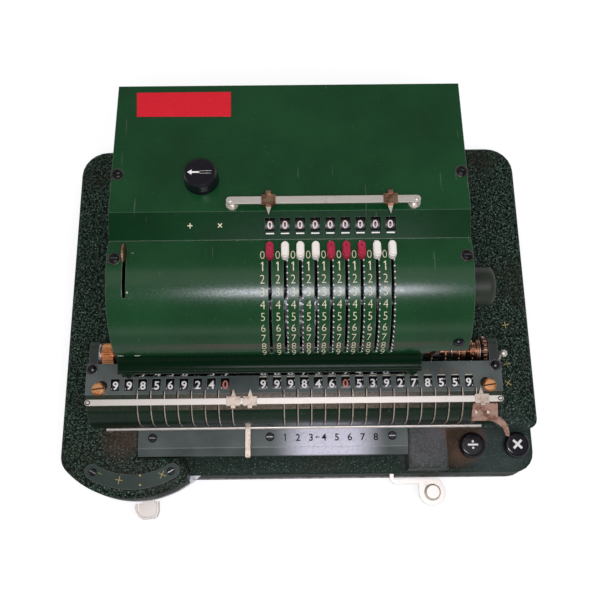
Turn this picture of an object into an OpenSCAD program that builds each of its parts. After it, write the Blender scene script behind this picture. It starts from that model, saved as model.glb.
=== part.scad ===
// Electric four-function calculating machine: a broad cast base, a drum-fronted cover with nine
// setting levers, and a sliding carriage with a result register and a revolution counter.
// Millimetres. +X is the machine's right, +Y its rear, +Z up. The origin lies under the middle of
// the machine, on the surface that it stands on.

/* [Registers] */
// Distance between two columns, and one step of the carriage
column_pitch = 9; // [8.6:0.1:9.4]
// Number of setting levers
columns = 9; // [7:1:9]
// X of the lever of the rightmost column
units_x = 54.7; // [53:0.1:56]
// Number wheels in the result register
result_places = 16; // [14:1:16]
// Number wheels in the revolution counter
counter_places = 9; // [8:1:9]

/* [Base casting] */
// Width of the base
base_w = 332; // [328:1:336]
// Distance from the middle of the machine to the rear wall
base_rear_y = 137.4; // [135:0.1:139]
// Distance from the middle of the machine to the front wall
base_front_y = 108; // [107:0.5:110]
// Height of the main deck above the table
deck_z = 54; // [52:0.5:56]
// How far the front shelf lies below the main deck
shelf_drop = 20; // [18:0.5:22]
// Wall thickness of the casting
base_wall = 5; // [4:0.5:6]
// Radius of the rounding along the edges of the deck
deck_round = 4; // [2:0.5:5]
// Radius of the corners of the base
base_corner_r = 20; // [16:1:24]
// Height of the rubber feet
foot_h = 6; // [4:0.5:8]
// Thickness of the bottom plate
bottom_t = 2; // [1.5:0.5:3]

/* [Function lever] */
// Radius of the round housing over the function lever
sector_r = 65; // [64:0.5:66]
// Distance from the left wall to the pivot of the function lever
sector_inset = 50.5; // [49:0.5:52]
// Distance from the middle of the machine to the pivot of the function lever, to the front
sector_y = 60; // [59:0.5:61]
// Reach of the function lever from its pivot to its tip
lever_reach = 77.8; // [74:0.1:79]
// Thickness of the flat levers
flat_t = 2; // [1.5:0.5:2.5]

/* [Cover] */
// Width of the cover
cover_w = 216; // [214:1:218]
// X of the middle of the cover
cover_x = -5.4; // [-6:0.1:-4.8]
// Thickness of the cover sheet
sheet = 1.4; // [1:0.1:1.8]
// Radius of the drum front
drum_r = 45.3; // [45:0.1:46]
// Height of the drum axis above the deck
drum_z = 71.6; // [71:0.1:73]
// Y of the rear wall of the cover
cover_rear_y = 123; // [120:0.5:125]
// Height of the rear edge of the cover above the deck
cover_rear_h = 112.6; // [110:0.1:115]
// Width of a lever slot
slot_w = 2; // [1.8:0.1:2.4]
// Angle that a lever turns through per digit
digit_angle = 9.49; // [9.3:0.01:9.6]

/* [Carriage] */
// Length of the carriage
carriage_w = 273; // [272:0.5:275]
// X of the middle of the carriage
carriage_x = -4; // [-5:0.1:-3]
// Height of the number plate above the deck
plate_h = 41.3; // [40.5:0.1:42.5]
// Radius of the rolled front of the carriage
roll_r = 17.3; // [16.8:0.1:17.8]
// Radius of a number wheel
wheel_r = 14; // [13:0.5:14]
// Width of a number wheel
wheel_w = 5.8; // [5:0.1:6.4]
// Thickness of the number plate and the rolled front
carriage_sheet = 1.2; // [1:0.1:1.6]

/* [Fits] */
// Radial running clearance of shafts and pivots
running = 0.05; // [0.03:0.01:0.1]
// Gap between pieces that move past each other
gap = 0.4; // [0.3:0.1:0.6]

/* [Keys and knobs] */
// Radius of a function key
key_r = 9; // [8:0.5:10]
// Travel of a function key
key_travel = 4; // [3:0.5:5]
// Radius of the selector knob
selector_r = 9.9; // [9:0.1:11]
// Height of the selector knob
selector_h = 9; // [7:0.5:11]

/* [Hidden] */
$fn = 48;

half_w = base_w / 2;
sector_x = half_w - sector_inset;
shelf_z = deck_z - shelf_drop;
bottom_z = foot_h + bottom_t;
axis_z = deck_z + drum_z;
home_angle = 99.5;
lever_travel = 9 * digit_angle;
sector_pivot = [-sector_x, -sector_y];

// Plan of the base
front_corner_r = 14;
channel_x0 = -half_w + 53.5;
channel_x1 = 74.4;
channel_y = -77.9;
tongue_x1 = max(half_w - 64.2, channel_x1 + 10);
tongue_y = -base_front_y + 1;
step_y = -79.6;
ledge_x = 37.1 - sector_x;
notch_r = 9;
sector_fillet = 14;
housing_z = deck_z - 22;

// Section of the cover
crease_2 = [17, axis_z + sqrt(pow(drum_r, 2) - pow(17, 2))];
crease_1 = crease_2 + [16, 5.8];
rear_top = [cover_rear_y, deck_z + cover_rear_h];
cover_x0 = cover_x - cover_w / 2;
cover_x1 = cover_x + cover_w / 2;
brim_angle = 8;
brim_r = 8;
brim_lip = 1.6;
facet_angle = atan2(crease_1[1] - crease_2[1], crease_1[0] - crease_2[0]);
panel_angle = atan2(crease_1[1] - rear_top[1], rear_top[0] - crease_1[0]);
window_y = 25.4;

// Setting mechanism
lever_shaft_r = 3;
check_shaft_r = 2;
check_r = 10.5;
check_drop = sheet + gap + check_r;
window_z = crease_2[1] + (window_y - crease_2[0]) * tan(facet_angle);
check_y = window_y + check_drop * sin(facet_angle);
check_z = window_z - check_drop * cos(facet_angle);
mesh_distance = norm([check_y, check_z - axis_z]);
mesh_angle = 180 - atan2(check_z - axis_z, check_y);
pinion_teeth = 20;
teeth_per_travel = 18;
sector_turn = 360 * teeth_per_travel / lever_travel;
pinion_pitch_r = mesh_distance * pinion_teeth / (pinion_teeth + sector_turn);
rack_pitch_r = mesh_distance - pinion_pitch_r;
rack_tooth_angle = 360 / sector_turn;
small_module = 2 * pinion_pitch_r / pinion_teeth;
lever_t = 1.2;
rack_x = 3.4;
comb_r = drum_r - sheet - gap - 0.1;

// Frames, shafts and gears of the drive
frame_t = 3;
left_frame_x = cover_x0 + 14.4;
right_frame_x = cover_x1 - 18.6;
clearing_lever_x = cover_x0 + 10.7;
drive_y = 2;
drive_z = deck_z + 38;
drive_r = 4;
drive_wheel_r = 24;
gear_x = right_frame_x - 10;
gear_w = 6;
gear_module = 1.25;
drive_teeth = 34;
idler_teeth = 44;
motor_teeth = 12;
idler_y = drive_y + 48.7;
idler_z = drive_z - 2.12;
motor_y = idler_y + gear_module * (idler_teeth + motor_teeth) / 2;
motor_z = idler_z;
motor_r = 26;
motor_len = 100;

// Carriage
plate_z = deck_z + plate_h;
carriage_x0 = carriage_x - carriage_w / 2;
carriage_x1 = carriage_x + carriage_w / 2;
roll_y = -61.5;
roll_z = plate_z - roll_r;
wheel_y = -55.1;
wheel_z = plate_z - carriage_sheet - gap - wheel_r;
register_pitch = (carriage_w - 48) / 25;
result_x = carriage_x1 - 21.8;
counter_x = carriage_x0 + 19.3;
parting_x = (counter_x + 8 * register_pitch + result_x - 15 * register_pitch) / 2 - 1.25;
end_t = 6;
skirt_z = deck_z + 12;
clearing_y = -33;
clearing_z = deck_z + 34;
clearing_r = 3;
front_rail = [-78.2, deck_z + 2.5];
rear_rail = [-29, deck_z + 3];
rail_r = 1.2;
release_place = [-40, deck_z + 20];
bar_y = -67.2;
bar_w = 4;
bar_z = plate_z + 2;
bar_t = 1.2;
marker_bar_y = 37.5;
marker_bar_z = crease_1[1] + 4.9;

// Colours
deck_green = [0.05, 0.12, 0.1];
enamel_green = [0.05, 0.22, 0.13];
plate_grey = [0.25, 0.33, 0.3];
nickel = [0.82, 0.78, 0.72];
steel = [0.6, 0.6, 0.62];
black = [0.07, 0.06, 0.09];
copper = [0.62, 0.34, 0.2];
brass = [0.75, 0.45, 0.2];

// Points along an arc about c, from angle a0 to a1
function arc(c, r, a0, a1, n) =
    [for (i = [0:n]) let (a = a0 + (a1 - a0) * i / n) [c[0] + r * cos(a), c[1] + r * sin(a)]];

// Inward unit normal of the edge from p to q of an outline that runs anticlockwise
function inward(p, q) = [p[1] - q[1], q[0] - p[0]] / norm(q - p);

// The outline moved inward by d
function inset(pts, d) =
    [for (i = [0:len(pts) - 1])
        let (n = len(pts))
        let (a = inward(pts[(i + n - 1) % n], pts[i]))
        let (b = inward(pts[i], pts[(i + 1) % n]))
        pts[i] + d * (a + b) / (1 + a * b)];

// Rings of a block with its top edge rounded to radius r
function rounded_rings(pts, z0, z1, r) =
    concat([[pts, z0]], [for (a = [0:30:90]) [inset(pts, r * (1 - cos(a))), z1 - r + r * sin(a)]]);

// Point at radius r and angle a in a section along Y and Z; a rises from the front
function section_point(r, a) = [-r * cos(a), r * sin(a)];

// Tooth outline of a gear: four points a tooth
function tooth_points(count, pitch_r, m, first, teeth) =
    [for (i = [0:teeth - 1])
        let (mid = first + i * 360 / count)
        let (root = 360 / count * 0.27)
        let (tip = 360 / count * 0.12)
        each [
            (pitch_r - m) * [cos(mid - root), sin(mid - root)],
            (pitch_r + 0.7 * m) * [cos(mid - tip), sin(mid - tip)],
            (pitch_r + 0.7 * m) * [cos(mid + tip), sin(mid + tip)],
            (pitch_r - m) * [cos(mid + root), sin(mid + root)]]];

rear_left = arc([-half_w + base_corner_r, base_rear_y - base_corner_r], base_corner_r, 90, 180, 6);
rear_right = arc([half_w - base_corner_r, base_rear_y - base_corner_r], base_corner_r, 0, 90, 6);

fillet_dx = sector_x - half_w + sector_fillet;
fillet_dy = sqrt(pow(sector_r - sector_fillet, 2) - pow(fillet_dx, 2));
fillet_end = 360 - atan2(fillet_dy, fillet_dx);
sector_end = 360 - acos((ledge_x + sector_x) / sector_r);

// Outline of the main deck, with the round lever housing and the channel for the scale
main_outline = concat(
    rear_left,
    arc([-half_w + sector_fillet, -sector_y - fillet_dy], sector_fillet, 180, fillet_end, 5),
    arc(sector_pivot, sector_r, fillet_end + 4, sector_end, 18),
    arc([ledge_x - notch_r, -97 - notch_r], notch_r, 0, 90, 5),
    [[channel_x0, -97], [channel_x0, channel_y], [channel_x1, channel_y],
     [channel_x1, tongue_y], [tongue_x1, tongue_y], [tongue_x1, step_y]],
    arc([half_w - 6, step_y + 6], 6, 270, 360, 4),
    rear_right);

// Outline of the lower part of the base, up to the front shelf
lower_outline = concat(
    rear_left,
    arc([-half_w + base_corner_r, -base_front_y + base_corner_r], base_corner_r, 180, 270, 6),
    arc([half_w - front_corner_r, -base_front_y + front_corner_r], front_corner_r, 270, 360, 5),
    rear_right);

function column_x(k) = units_x - (k - 1) * column_pitch;
key_x = [half_w - 44.9, half_w - 13.5];
key_y = -89.9;
foot_places = [for (y = [24 - base_front_y, base_rear_y - 25.4], x = [26 - half_w, half_w - 26]) [x, y]];
inlet_x = half_w - 56;
inlet_z = foot_h + 20;
shift_pivot = [channel_x1 - 8.4, -97];
lever_z = housing_z - 6;
shift_z = shelf_z - 9;

module loft(rings) {
    n = len(rings[0][0]);
    last = len(rings) - 1;
    polyhedron(
        points = [for (ring = rings, p = ring[0]) [p[0], p[1], ring[1]]],
        faces = concat(
            [[for (i = [0:n - 1]) i]],
            [[for (i = [n - 1:-1:0]) last * n + i]],
            [for (k = [0:last - 1], i = [0:n - 1])
                let (j = (i + 1) % n)
                [k * n + i, (k + 1) * n + i, (k + 1) * n + j, k * n + j]]));
}

// A section along Y and Z, drawn out from x0 along +X
module along_x(x0, length) {
    translate([x0, 0, 0]) rotate([90, 0, 90]) linear_extrude(length) children();
}

module rod_x(x0, length, y, z, r) {
    translate([x0, y, z]) rotate([0, 90, 0]) cylinder(r = r, h = length);
}

module tube_x(x0, length, y, z, r_in, r_out) {
    difference() {
        rod_x(x0, length, y, z, r_out);
        rod_x(x0 - 1, length + 2, y, z, r_in);
    }
}

// Part of a tube along X, between the angles a0 and a1 measured up from the front
module tube_sector(x0, length, y, z, r_in, r_out, a0, a1) {
    translate([x0, y, z]) rotate([0, 90, 0]) rotate([0, 0, 270 - a1])
        rotate_extrude(angle = a1 - a0, $fn = 96) translate([r_in, 0]) square([r_out - r_in, length]);
}

// A toothed wheel along X; phase turns it about its own axis, up from the front
module gear_x(x0, width, y, z, teeth, m, phase, bore) {
    difference() {
        translate([0, y, z]) along_x(x0, width)
            mirror([1, 0]) polygon(tooth_points(teeth, m * teeth / 2, m, phase, teeth));
        rod_x(x0 - 1, width + 2, y, z, bore);
    }
}

// A bar between two posts, with round ends, lying along X
module rail_bar(x0, x1, y, z, width, t) {
    translate([x0 + width / 2, y - width / 2, z]) cube([x1 - x0 - width, width, t]);
    for (x = [x0 + width / 2, x1 - width / 2]) {
        translate([x, y, z]) cylinder(r = width / 2, h = t);
        translate([x, y, z + t]) cylinder(r = 1, h = 0.6);
    }
}

// A slotted screw head standing on a face at z
module screw_head(r, h) {
    difference() {
        union() {
            cylinder(r = r, h = h * 0.6);
            translate([0, 0, h * 0.6]) cylinder(r1 = r, r2 = r * 0.75, h = h * 0.4);
        }
        translate([-r - 1, -0.4, h * 0.5]) cube([2 * r + 2, 0.8, h]);
    }
}

module base_casing() {
    color(deck_green) difference() {
        union() {
            loft(rounded_rings(lower_outline, bottom_z, shelf_z, deck_round / 2));
            loft(rounded_rings(main_outline, housing_z, deck_z, deck_round));
        }
        translate([0, 0, bottom_z - 1])
            linear_extrude(shelf_z - base_wall - bottom_z + 1) polygon(inset(lower_outline, base_wall));
        translate([0, 0, shelf_z - base_wall - 1])
            linear_extrude(deck_z - base_wall - shelf_z + base_wall + 1)
                polygon(inset(main_outline, base_wall));
        translate([sector_pivot[0] - 29, -base_front_y - 5, lever_z - 0.6])
            cube([55, 12, flat_t + 1.2]);
        translate([sector_pivot[0], sector_pivot[1], bottom_z])
            cylinder(r = 3 + running, h = deck_z - 1 - bottom_z);
        translate([shift_pivot[0] - 5.5, -base_front_y - 5, shift_z - 0.6])
            cube([11, 12, flat_t + 1.2]);
        translate([shift_pivot[0], shift_pivot[1], bottom_z])
            cylinder(r = 3 + running, h = shelf_z - 1 - bottom_z);
        for (x = key_x) translate([x, key_y, bottom_z]) cylinder(r = 3 + 2 * running, h = shelf_z);
        translate([inlet_x - 14, base_rear_y - base_wall - 5, inlet_z - 10])
            cube([28, base_wall + 10, 20]);
    }
}

module bottom_plate() {
    color(steel) difference() {
        translate([0, 0, foot_h]) linear_extrude(bottom_t) polygon(inset(lower_outline, -0.8));
        for (i = [0:5]) translate([-25 + i * 10, 40, foot_h - 1]) cylinder(r = 2, h = bottom_t + 2);
    }
}

module rubber_feet() {
    color(black) for (p = foot_places)
        translate([p[0], p[1], 0]) cylinder(r1 = 9, r2 = 11, h = foot_h);
}

module cover_band(points_a, points_b) {
    along_x(cover_x0, cover_w) polygon(concat(points_a, points_b));
}

module side_wall(x0) {
    mid = sheet / 2;
    along_x(x0, sheet) polygon(concat(
        [[-21, deck_z], [cover_rear_y - mid, deck_z], rear_top - [mid, mid], crease_1 - [0, mid],
         crease_2 - [-0.3, mid]],
        [for (a = [110:-6:brim_angle]) [0, axis_z] + section_point(drum_r - mid, a)],
        [[-44.3, deck_z + 62], [-21, deck_z + 58]]));
}

module cover_shell() {
    brim_c = [0, axis_z] + section_point(drum_r + brim_r, brim_angle);
    up = [0, -sheet];
    tube_sector(cover_x0, cover_w, 0, axis_z, drum_r - sheet, drum_r, brim_angle,
        180 - atan2(crease_2[1] - axis_z, crease_2[0]));
    tube_sector(cover_x0, cover_w, brim_c[0], brim_c[1], brim_r, brim_r + sheet,
        180 + brim_angle, 270);
    translate([cover_x0, brim_c[0] - brim_lip, brim_c[1] - brim_r - sheet + 0.1])
        cube([cover_w, brim_lip + 1, sheet - 0.2]);
    cover_band([crease_2, crease_1], [crease_1 + up, crease_2 + up]);
    cover_band([crease_1, rear_top], [rear_top + up, crease_1 + up]);
    translate([cover_x0, cover_rear_y - sheet, deck_z])
        cube([cover_w, sheet, rear_top[1] - deck_z - 0.1]);
    side_wall(cover_x0);
    side_wall(cover_x1 - sheet);
    for (x = [cover_x0 + 7.2, cover_x1 - 33.1]) translate([x, brim_c[0] - brim_lip, brim_c[1] - brim_r - sheet])
        linear_extrude(sheet) polygon([[-4.4, 0.1], [0, -3.2], [4.4, 0.1]]);
}

// Cut-out in the lower right of the cover, over the end of the register
module register_cutout() {
    r = 8;
    translate([cover_x1 - 27.1, -70, deck_z + 50]) rotate([90, 0, 0]) mirror([0, 0, 1]) linear_extrude(42) {
        translate([r, 0]) square([60, 31]);
        square([60, 31 - r]);
        translate([r, 31 - r]) circle(r = r);
    }
}

module top_cover() {
    color(enamel_green) difference() {
        cover_shell();
        for (k = [1:columns]) {
            translate([column_x(k), window_y, window_z]) rotate([facet_angle, 0, 0])
                cube([6, 8, 8], center = true);
            tube_sector(column_x(k) - slot_w / 2, slot_w, 0, axis_z, drum_r - 4, drum_r + 3,
                11, home_angle + 5);
        }
        tube_sector(clearing_lever_x - slot_w / 2, slot_w, 0, axis_z, drum_r - 4, drum_r + 3, 66, home_angle + 5);
        register_cutout();
        translate([selector_place[0], selector_place[1], panel_z(selector_place[1])])
            rotate([-panel_angle, 0, 0]) translate([0, 0, -10]) cylinder(r = 3 + running, h = 20);
        translate([cover_x1 - 5, 0, axis_z]) rotate([0, 90, 0]) cylinder(r = 5, h = 10);
    }
}

// Where the selector knob stands on the sloping top panel
selector_place = [-58.5, 54.5];
function panel_z(y) = crease_1[1] - (y - crease_1[0]) * tan(panel_angle);

// Slotted screws of the cover, the drum, the scale and the sector plate
module case_screws() {
    color(black) {
        for (x = [cover_x0 + 3.6, cover_x1 - 3.4])
            translate([x, cover_rear_y - 64, panel_z(cover_rear_y - 64)])
                rotate([-panel_angle, 0, 0]) screw_head(3, 1.6);
        for (x = [cover_x0 + 4.5, cover_x1 - 3.8]) drum_screw(x, 96);
        drum_screw(cover_x1 - 7, 24);
        for (x = [channel_x0 + 10.3, (channel_x0 + channel_x1) / 2 - 2.15, channel_x1 - 11.1])
            translate([x, channel_y - 6.6, deck_z + 1.2]) screw_head(3, 1.6);
        for (a = [-29.5, 29.5])
            translate([sector_pivot[0], sector_pivot[1], deck_z + 1]) rotate([0, 0, a])
                translate([0, -54, 0]) screw_head(2.6, 1.2);
    }
}

// A screw standing on the drum front at angle a
module drum_screw(x, a) {
    translate([x, 0, axis_z]) rotate([90 - a, 0, 0]) translate([0, 0, drum_r + 0.01]) screw_head(3, 1.6);
}

module frame_plate(x0) {
    difference() {
        along_x(x0, frame_t) difference() {
            union() {
                translate([0, axis_z]) circle(r = comb_r);
                polygon([[-18, deck_z], [112, deck_z], [112, deck_z + 40], [60, deck_z + 104],
                         [35, deck_z + 112], [10, deck_z + 108], [-18, deck_z + 90]]);
            }
            translate([-80, deck_z]) square([62, 58]);
        }
        rod_x(x0 - 1, frame_t + 2, 0, axis_z, lever_shaft_r + running);
        rod_x(x0 - 1, frame_t + 2, check_y, check_z, check_shaft_r + running);
        rod_x(x0 - 1, frame_t + 2, drive_y, drive_z, drive_r + running);
        if (x0 > 0) rod_x(x0 - 1, frame_t + 2, idler_y, idler_z, drive_r + running);
    }
}

module side_frames() {
    color(steel) {
        frame_plate(left_frame_x);
        frame_plate(right_frame_x);
    }
}

module hub_cover() {
    color([0.1, 0.13, 0.1]) difference() {
        union() {
            rod_x(cover_x1, 17, 0, axis_z, 12.5);
            translate([cover_x1 + 17, 0, axis_z]) rotate([0, 90, 0]) rotate_extrude() polygon(concat(
                [[0, 0]], [for (a = [0:15:90]) [8.5 + 4 * cos(a), 4 * sin(a)]], [[0, 4]]));
        }
        rod_x(cover_x1 - 1, 12, 0, axis_z, 5);
    }
}

module motor() {
    cradle_r = motor_r + 2;
    color(black) difference() {
        union() {
            rod_x(-motor_len / 2, motor_len, motor_y, motor_z, motor_r);
            rod_x(-motor_len / 2 - 8, motor_len + 16, motor_y, motor_z, motor_r - 8);
            for (x = [-40, 30]) difference() {
                translate([x, motor_y - 20, deck_z]) cube([10, 40, motor_z - deck_z]);
                rod_x(x - 1, 12, motor_y, motor_z, motor_r - 1);
            }
        }
        rod_x(motor_len / 2 - 10, 30, motor_y, motor_z, 3 + running);
    }
}

module motor_pinion() {
    color(steel) {
        rod_x(motor_len / 2 - 8, gear_x + gear_w - motor_len / 2 + 8, motor_y, motor_z, 3);
        gear_x(gear_x, gear_w, motor_y, motor_z, motor_teeth, gear_module, motor_phase, 2);
    }
}

module idler_gear() {
    color(steel) {
        rod_x(gear_x - 2, right_frame_x + frame_t - gear_x + 4, idler_y, idler_z, drive_r);
        gear_x(gear_x, gear_w, idler_y, idler_z, idler_teeth, gear_module, idler_phase, 3);
    }
}

// A gap of the driven wheel faces a tooth of its driver along the line of centres
drive_line = 180 - atan2(idler_z - drive_z, idler_y - drive_y);
motor_line = 180 - atan2(motor_z - idler_z, motor_y - idler_y);
drive_phase = drive_line;
idler_phase = drive_line + 180 + 180 / idler_teeth;
idler_at_motor = (motor_line - idler_phase) * idler_teeth / 360;
motor_phase = motor_line + 180 + 180 / motor_teeth
    + (idler_at_motor - floor(idler_at_motor)) * 360 / motor_teeth;

module cross_shafts() {
    color(steel) {
        rod_x(cover_x0 + 3.4, right_frame_x + frame_t - cover_x0 - 0.4, 0, axis_z, lever_shaft_r);
        rod_x(left_frame_x, right_frame_x + frame_t - left_frame_x, check_y, check_z, check_shaft_r);
    }
}

// Front and rear rods that the carriage runs on, each on small saddles
module carriage_rails() {
    color(nickel) {
        for (rail = [front_rail, rear_rail]) {
            rod_x(32 - half_w, base_w - 73, rail[0], rail[1], rail_r);
            for (x = [32 - half_w, half_w - 48.5]) translate([x, rail[0] - 1.2, deck_z])
                cube([4, 4, rail[1] - deck_z]);
        }
    }
}

module scale_rail() {
    top = deck_z + 1.2;
    color(plate_grey) along_x(channel_x0 + 0.4, channel_x1 - channel_x0 - 0.8) polygon([
        [channel_y - 0.3, top], [-91.3, top], [-91.5, top - 0.5], [-91.7, top - 0.5],
        [-96.7, top - 2.6], [-96.7, top - 8], [-91, top - 8], [-91, shelf_z],
        [channel_y - 0.3, shelf_z]]);
}

module sector_plate() {
    color(plate_grey) translate([sector_pivot[0], sector_pivot[1], deck_z]) {
        rotate([0, 0, 270 - 30.5]) rotate_extrude(angle = 61, $fn = 96)
            translate([49, 0]) square([10, 1]);
        for (a = [-30.5, 30.5]) rotate([0, 0, a]) translate([0, -54, 0]) cylinder(r = 5, h = 1);
    }
}

// Bright plate under the round lever housing
module lever_guide() {
    color(steel) translate([0, 0, housing_z - 2]) linear_extrude(2) difference() {
        translate(sector_pivot) circle(r = sector_r + 0.4, $fn = 96);
        translate([-300, -base_front_y]) square([600, 600]);
    }
}

module pointer_rail() {
    color(nickel) {
        rail_bar(-42.9, 72.2, marker_bar_y, marker_bar_z, 4.6, 1.2);
        for (x = [-39.7, 69]) {
            translate([x, marker_bar_y, panel_z(marker_bar_y) + 0.5])
                cylinder(r = 1.6, h = marker_bar_z - panel_z(marker_bar_y) - 0.4);
            translate([x, marker_bar_y, panel_z(marker_bar_y) + 0.02])
                rotate([-panel_angle, 0, 0]) cylinder(r = 3.8, h = 1.2);
        }
    }
}

module power_inlet() {
    y1 = base_rear_y;
    color(black) {
        difference() {
            translate([inlet_x - 13.8, y1 - 20, inlet_z - 9.8]) cube([27.6, 20, 19.6]);
            translate([inlet_x - 11, y1 - 16, inlet_z - 7]) cube([22, 20, 14]);
        }
        for (dx = [-7, 7]) translate([inlet_x + dx, y1 - 17, inlet_z]) rotate([-90, 0, 0])
            cylinder(r = 2, h = 14);
    }
}

// Nine notched arcs under the drum front, carried by two rods between the frames
module detent_comb() {
    span = right_frame_x - left_frame_x - frame_t;
    color(steel) {
        for (k = [1:columns]) difference() {
            tube_sector(column_x(k) + 0.8, 0.5, 0, axis_z, comb_r - 5, comb_r, 3, home_angle + 14);
            for (i = [0:2 * 9 + 1])
                translate([column_x(k), 0, axis_z]) rotate([90 - home_angle + digit_angle * (i - 0.5) / 2, 0, 0])
                    translate([0, 0, comb_r]) cube([4, 1.4, 1.6], center = true);
        }
        for (a = [3, home_angle + 13])
            rod_x(left_frame_x + frame_t, span, section_point(comb_r - 4, a)[0],
                axis_z + section_point(comb_r - 4, a)[1], 1.5);
    }
}

module drive_shaft() {
    color(steel) {
        rod_x(left_frame_x - 4, right_frame_x + frame_t + 4 - left_frame_x + 4, drive_y, drive_z, drive_r);
        gear_x(gear_x, gear_w, drive_y, drive_z, drive_teeth, gear_module, drive_phase, drive_r - 1);
    }
}

// Nine drive wheels, each with nine teeth on a part of its rim
module drive_wheels() {
    color(steel) for (k = [1:columns]) difference() {
        union() {
            rod_x(column_x(k) - 1, 2, drive_y, drive_z, drive_wheel_r - 3);
            rod_x(column_x(k) - 2.5, 5, drive_y, drive_z, drive_r + 4);
            for (i = [0:8]) translate([column_x(k), drive_y, drive_z]) rotate([20 + i * 15, 0, 0])
                translate([-1, -1, 0]) cube([2, 2, drive_wheel_r]);
        }
        rod_x(column_x(k) - 3, 6, drive_y, drive_z, drive_r + running);
    }
}

module selector_knob() {
    color(black) translate([selector_place[0], selector_place[1], panel_z(selector_place[1])]) {
        rotate([-panel_angle, 0, 0]) translate([0, 0, gap]) {
            cylinder(r1 = selector_r + 0.6, r2 = selector_r, h = 2);
            translate([0, 0, 2]) cylinder(r = selector_r, h = selector_h - 3);
            translate([0, 0, selector_h - 1]) cylinder(r1 = selector_r, r2 = selector_r - 1, h = 1);
            translate([0, 0, -12]) cylinder(r = 3, h = 14);
        }
    }
}

// A marker that slides on a bar: a sleeve, a point and a bent spring
module bar_marker(x, y, z, width, bar, t, point) {
    translate([x, y, z]) {
        difference() {
            translate([-width / 2, -bar / 2 - 1, -0.8]) cube([width, bar + 2, t + 1.6]);
            translate([-width, -bar / 2 - running, -running])
                cube([2 * width, bar + 2 * running, t + 2 * running]);
        }
        translate([0, 0, -0.8]) linear_extrude(0.8) polygon([
            [-1.8, sign(point) * (bar / 2 + 0.8)], [0, point], [1.8, sign(point) * (bar / 2 + 0.8)]]);
        translate([-1.5, -sign(point) * (bar / 2 + 1.8) - 1, -0.8]) cube([3, 2, t + 3]);
    }
}

module left_marker() {
    color(nickel) bar_marker(column_x(columns) - 0.5, marker_bar_y, marker_bar_z, 8.4, 4.6, 1.2, -9);
}

module right_marker() {
    color(nickel) bar_marker(column_x(1) - 0.5, marker_bar_y, marker_bar_z, 8.4, 4.6, 1.2, -9);
}

// Blade of the clearing lever, in its slot at the left of the drum
module clearing_lever() {
    x = clearing_lever_x;
    color(nickel) difference() {
        union() {
            rod_x(x - 2, 4, 0, axis_z, 6);
            translate([x, 0, axis_z]) rotate([90 - home_angle, 0, 0]) {
                translate([-lever_t / 2, -3, 0]) cube([lever_t, 6, drum_r + 1]);
                translate([-lever_t / 2, 0, drum_r]) rotate([90, 0, 90]) linear_extrude(lever_t)
                    polygon(concat(arc([-1, 0.8], 7, 0, 150, 8), [[-3.5, 0.6]]));
            }
        }
        rod_x(x - 5, 10, 0, axis_z, lever_shaft_r + running);
    }
}

// The tab is a shallow tray with a rim on three sides
module function_lever() {
    z = lever_z;
    tray_edge = [[-8.6, 11.4], [-9.5, 8.8], [-8.9, 5.4], [-7.3, 2.3], [-4.6, 0], [3.3, 0], [5.6, 1.2],
        [7, 4], [7.4, 11.4]];
    color(nickel) translate([sector_pivot[0], sector_pivot[1], 0]) rotate([0, 0, 6.5]) {
        translate([-4, -lever_reach + 8, z]) cube([8, lever_reach - 8, flat_t]);
        translate([0, 0, z]) cylinder(r = 9, h = flat_t);
        translate([0, -lever_reach, z]) {
            linear_extrude(flat_t) polygon(tray_edge);
            linear_extrude(flat_t + 2.4) difference() {
                polygon(tray_edge);
                polygon([[-7.4, 20], [-8.1, 8.8], [-7.6, 5.7], [-6.2, 3], [-4, 1.3], [2.9, 1.3],
                    [4.6, 2.2], [5.8, 4.6], [6.1, 20]]);
            }
        }
        translate([0, 0, z]) cylinder(r = 3, h = deck_z - 1.4 - z);
    }
}

module shift_lever() {
    z = shift_z;
    color(nickel) {
        translate([shift_pivot[0], shift_pivot[1], z]) cylinder(r = 5, h = flat_t);
        translate([shift_pivot[0], 0, z]) linear_extrude(flat_t) union() {
            polygon(concat([[-2.5, -97]], arc([2.2, -110.3], 4.7, 180, 270, 6),
                [[18.5, -115], [18.5, -111.6], [0.3, -111.6], [0.3, -97]]));
            polygon(concat(arc([27.3, -121.1], 9.3, 180, 375, 16), [[32.8, -111.6], [18, -111.6]]));
        }
        translate([shift_pivot[0], shift_pivot[1], z]) cylinder(r = 3, h = shelf_z - 1.4 - z);
        translate([shift_pivot[0] + 27.3, -121.1, z + flat_t]) {
            cylinder(r = 5, h = 1.5);
            translate([0, 0, 1.5]) cylinder(r1 = 5.8, r2 = 4.6, h = 3);
        }
    }
}

module function_key(x) {
    top = shelf_z + key_travel + gap;
    color(black) {
        translate([x, key_y, top]) cylinder(r = key_r, h = 3.5);
        translate([x, key_y, top + 3.5]) rotate_extrude() polygon(concat(
            [[0, 0]], [for (a = [0:15:90]) [key_r * (0.72 + 0.28 * cos(a)), 2.2 * sin(a)]], [[0, 2.2]]));
        translate([x, key_y, shelf_z - 12]) cylinder(r = 3, h = 13 + key_travel);
    }
}

module divide_key() { function_key(key_x[0]); }
module multiply_key() { function_key(key_x[1]); }

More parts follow.
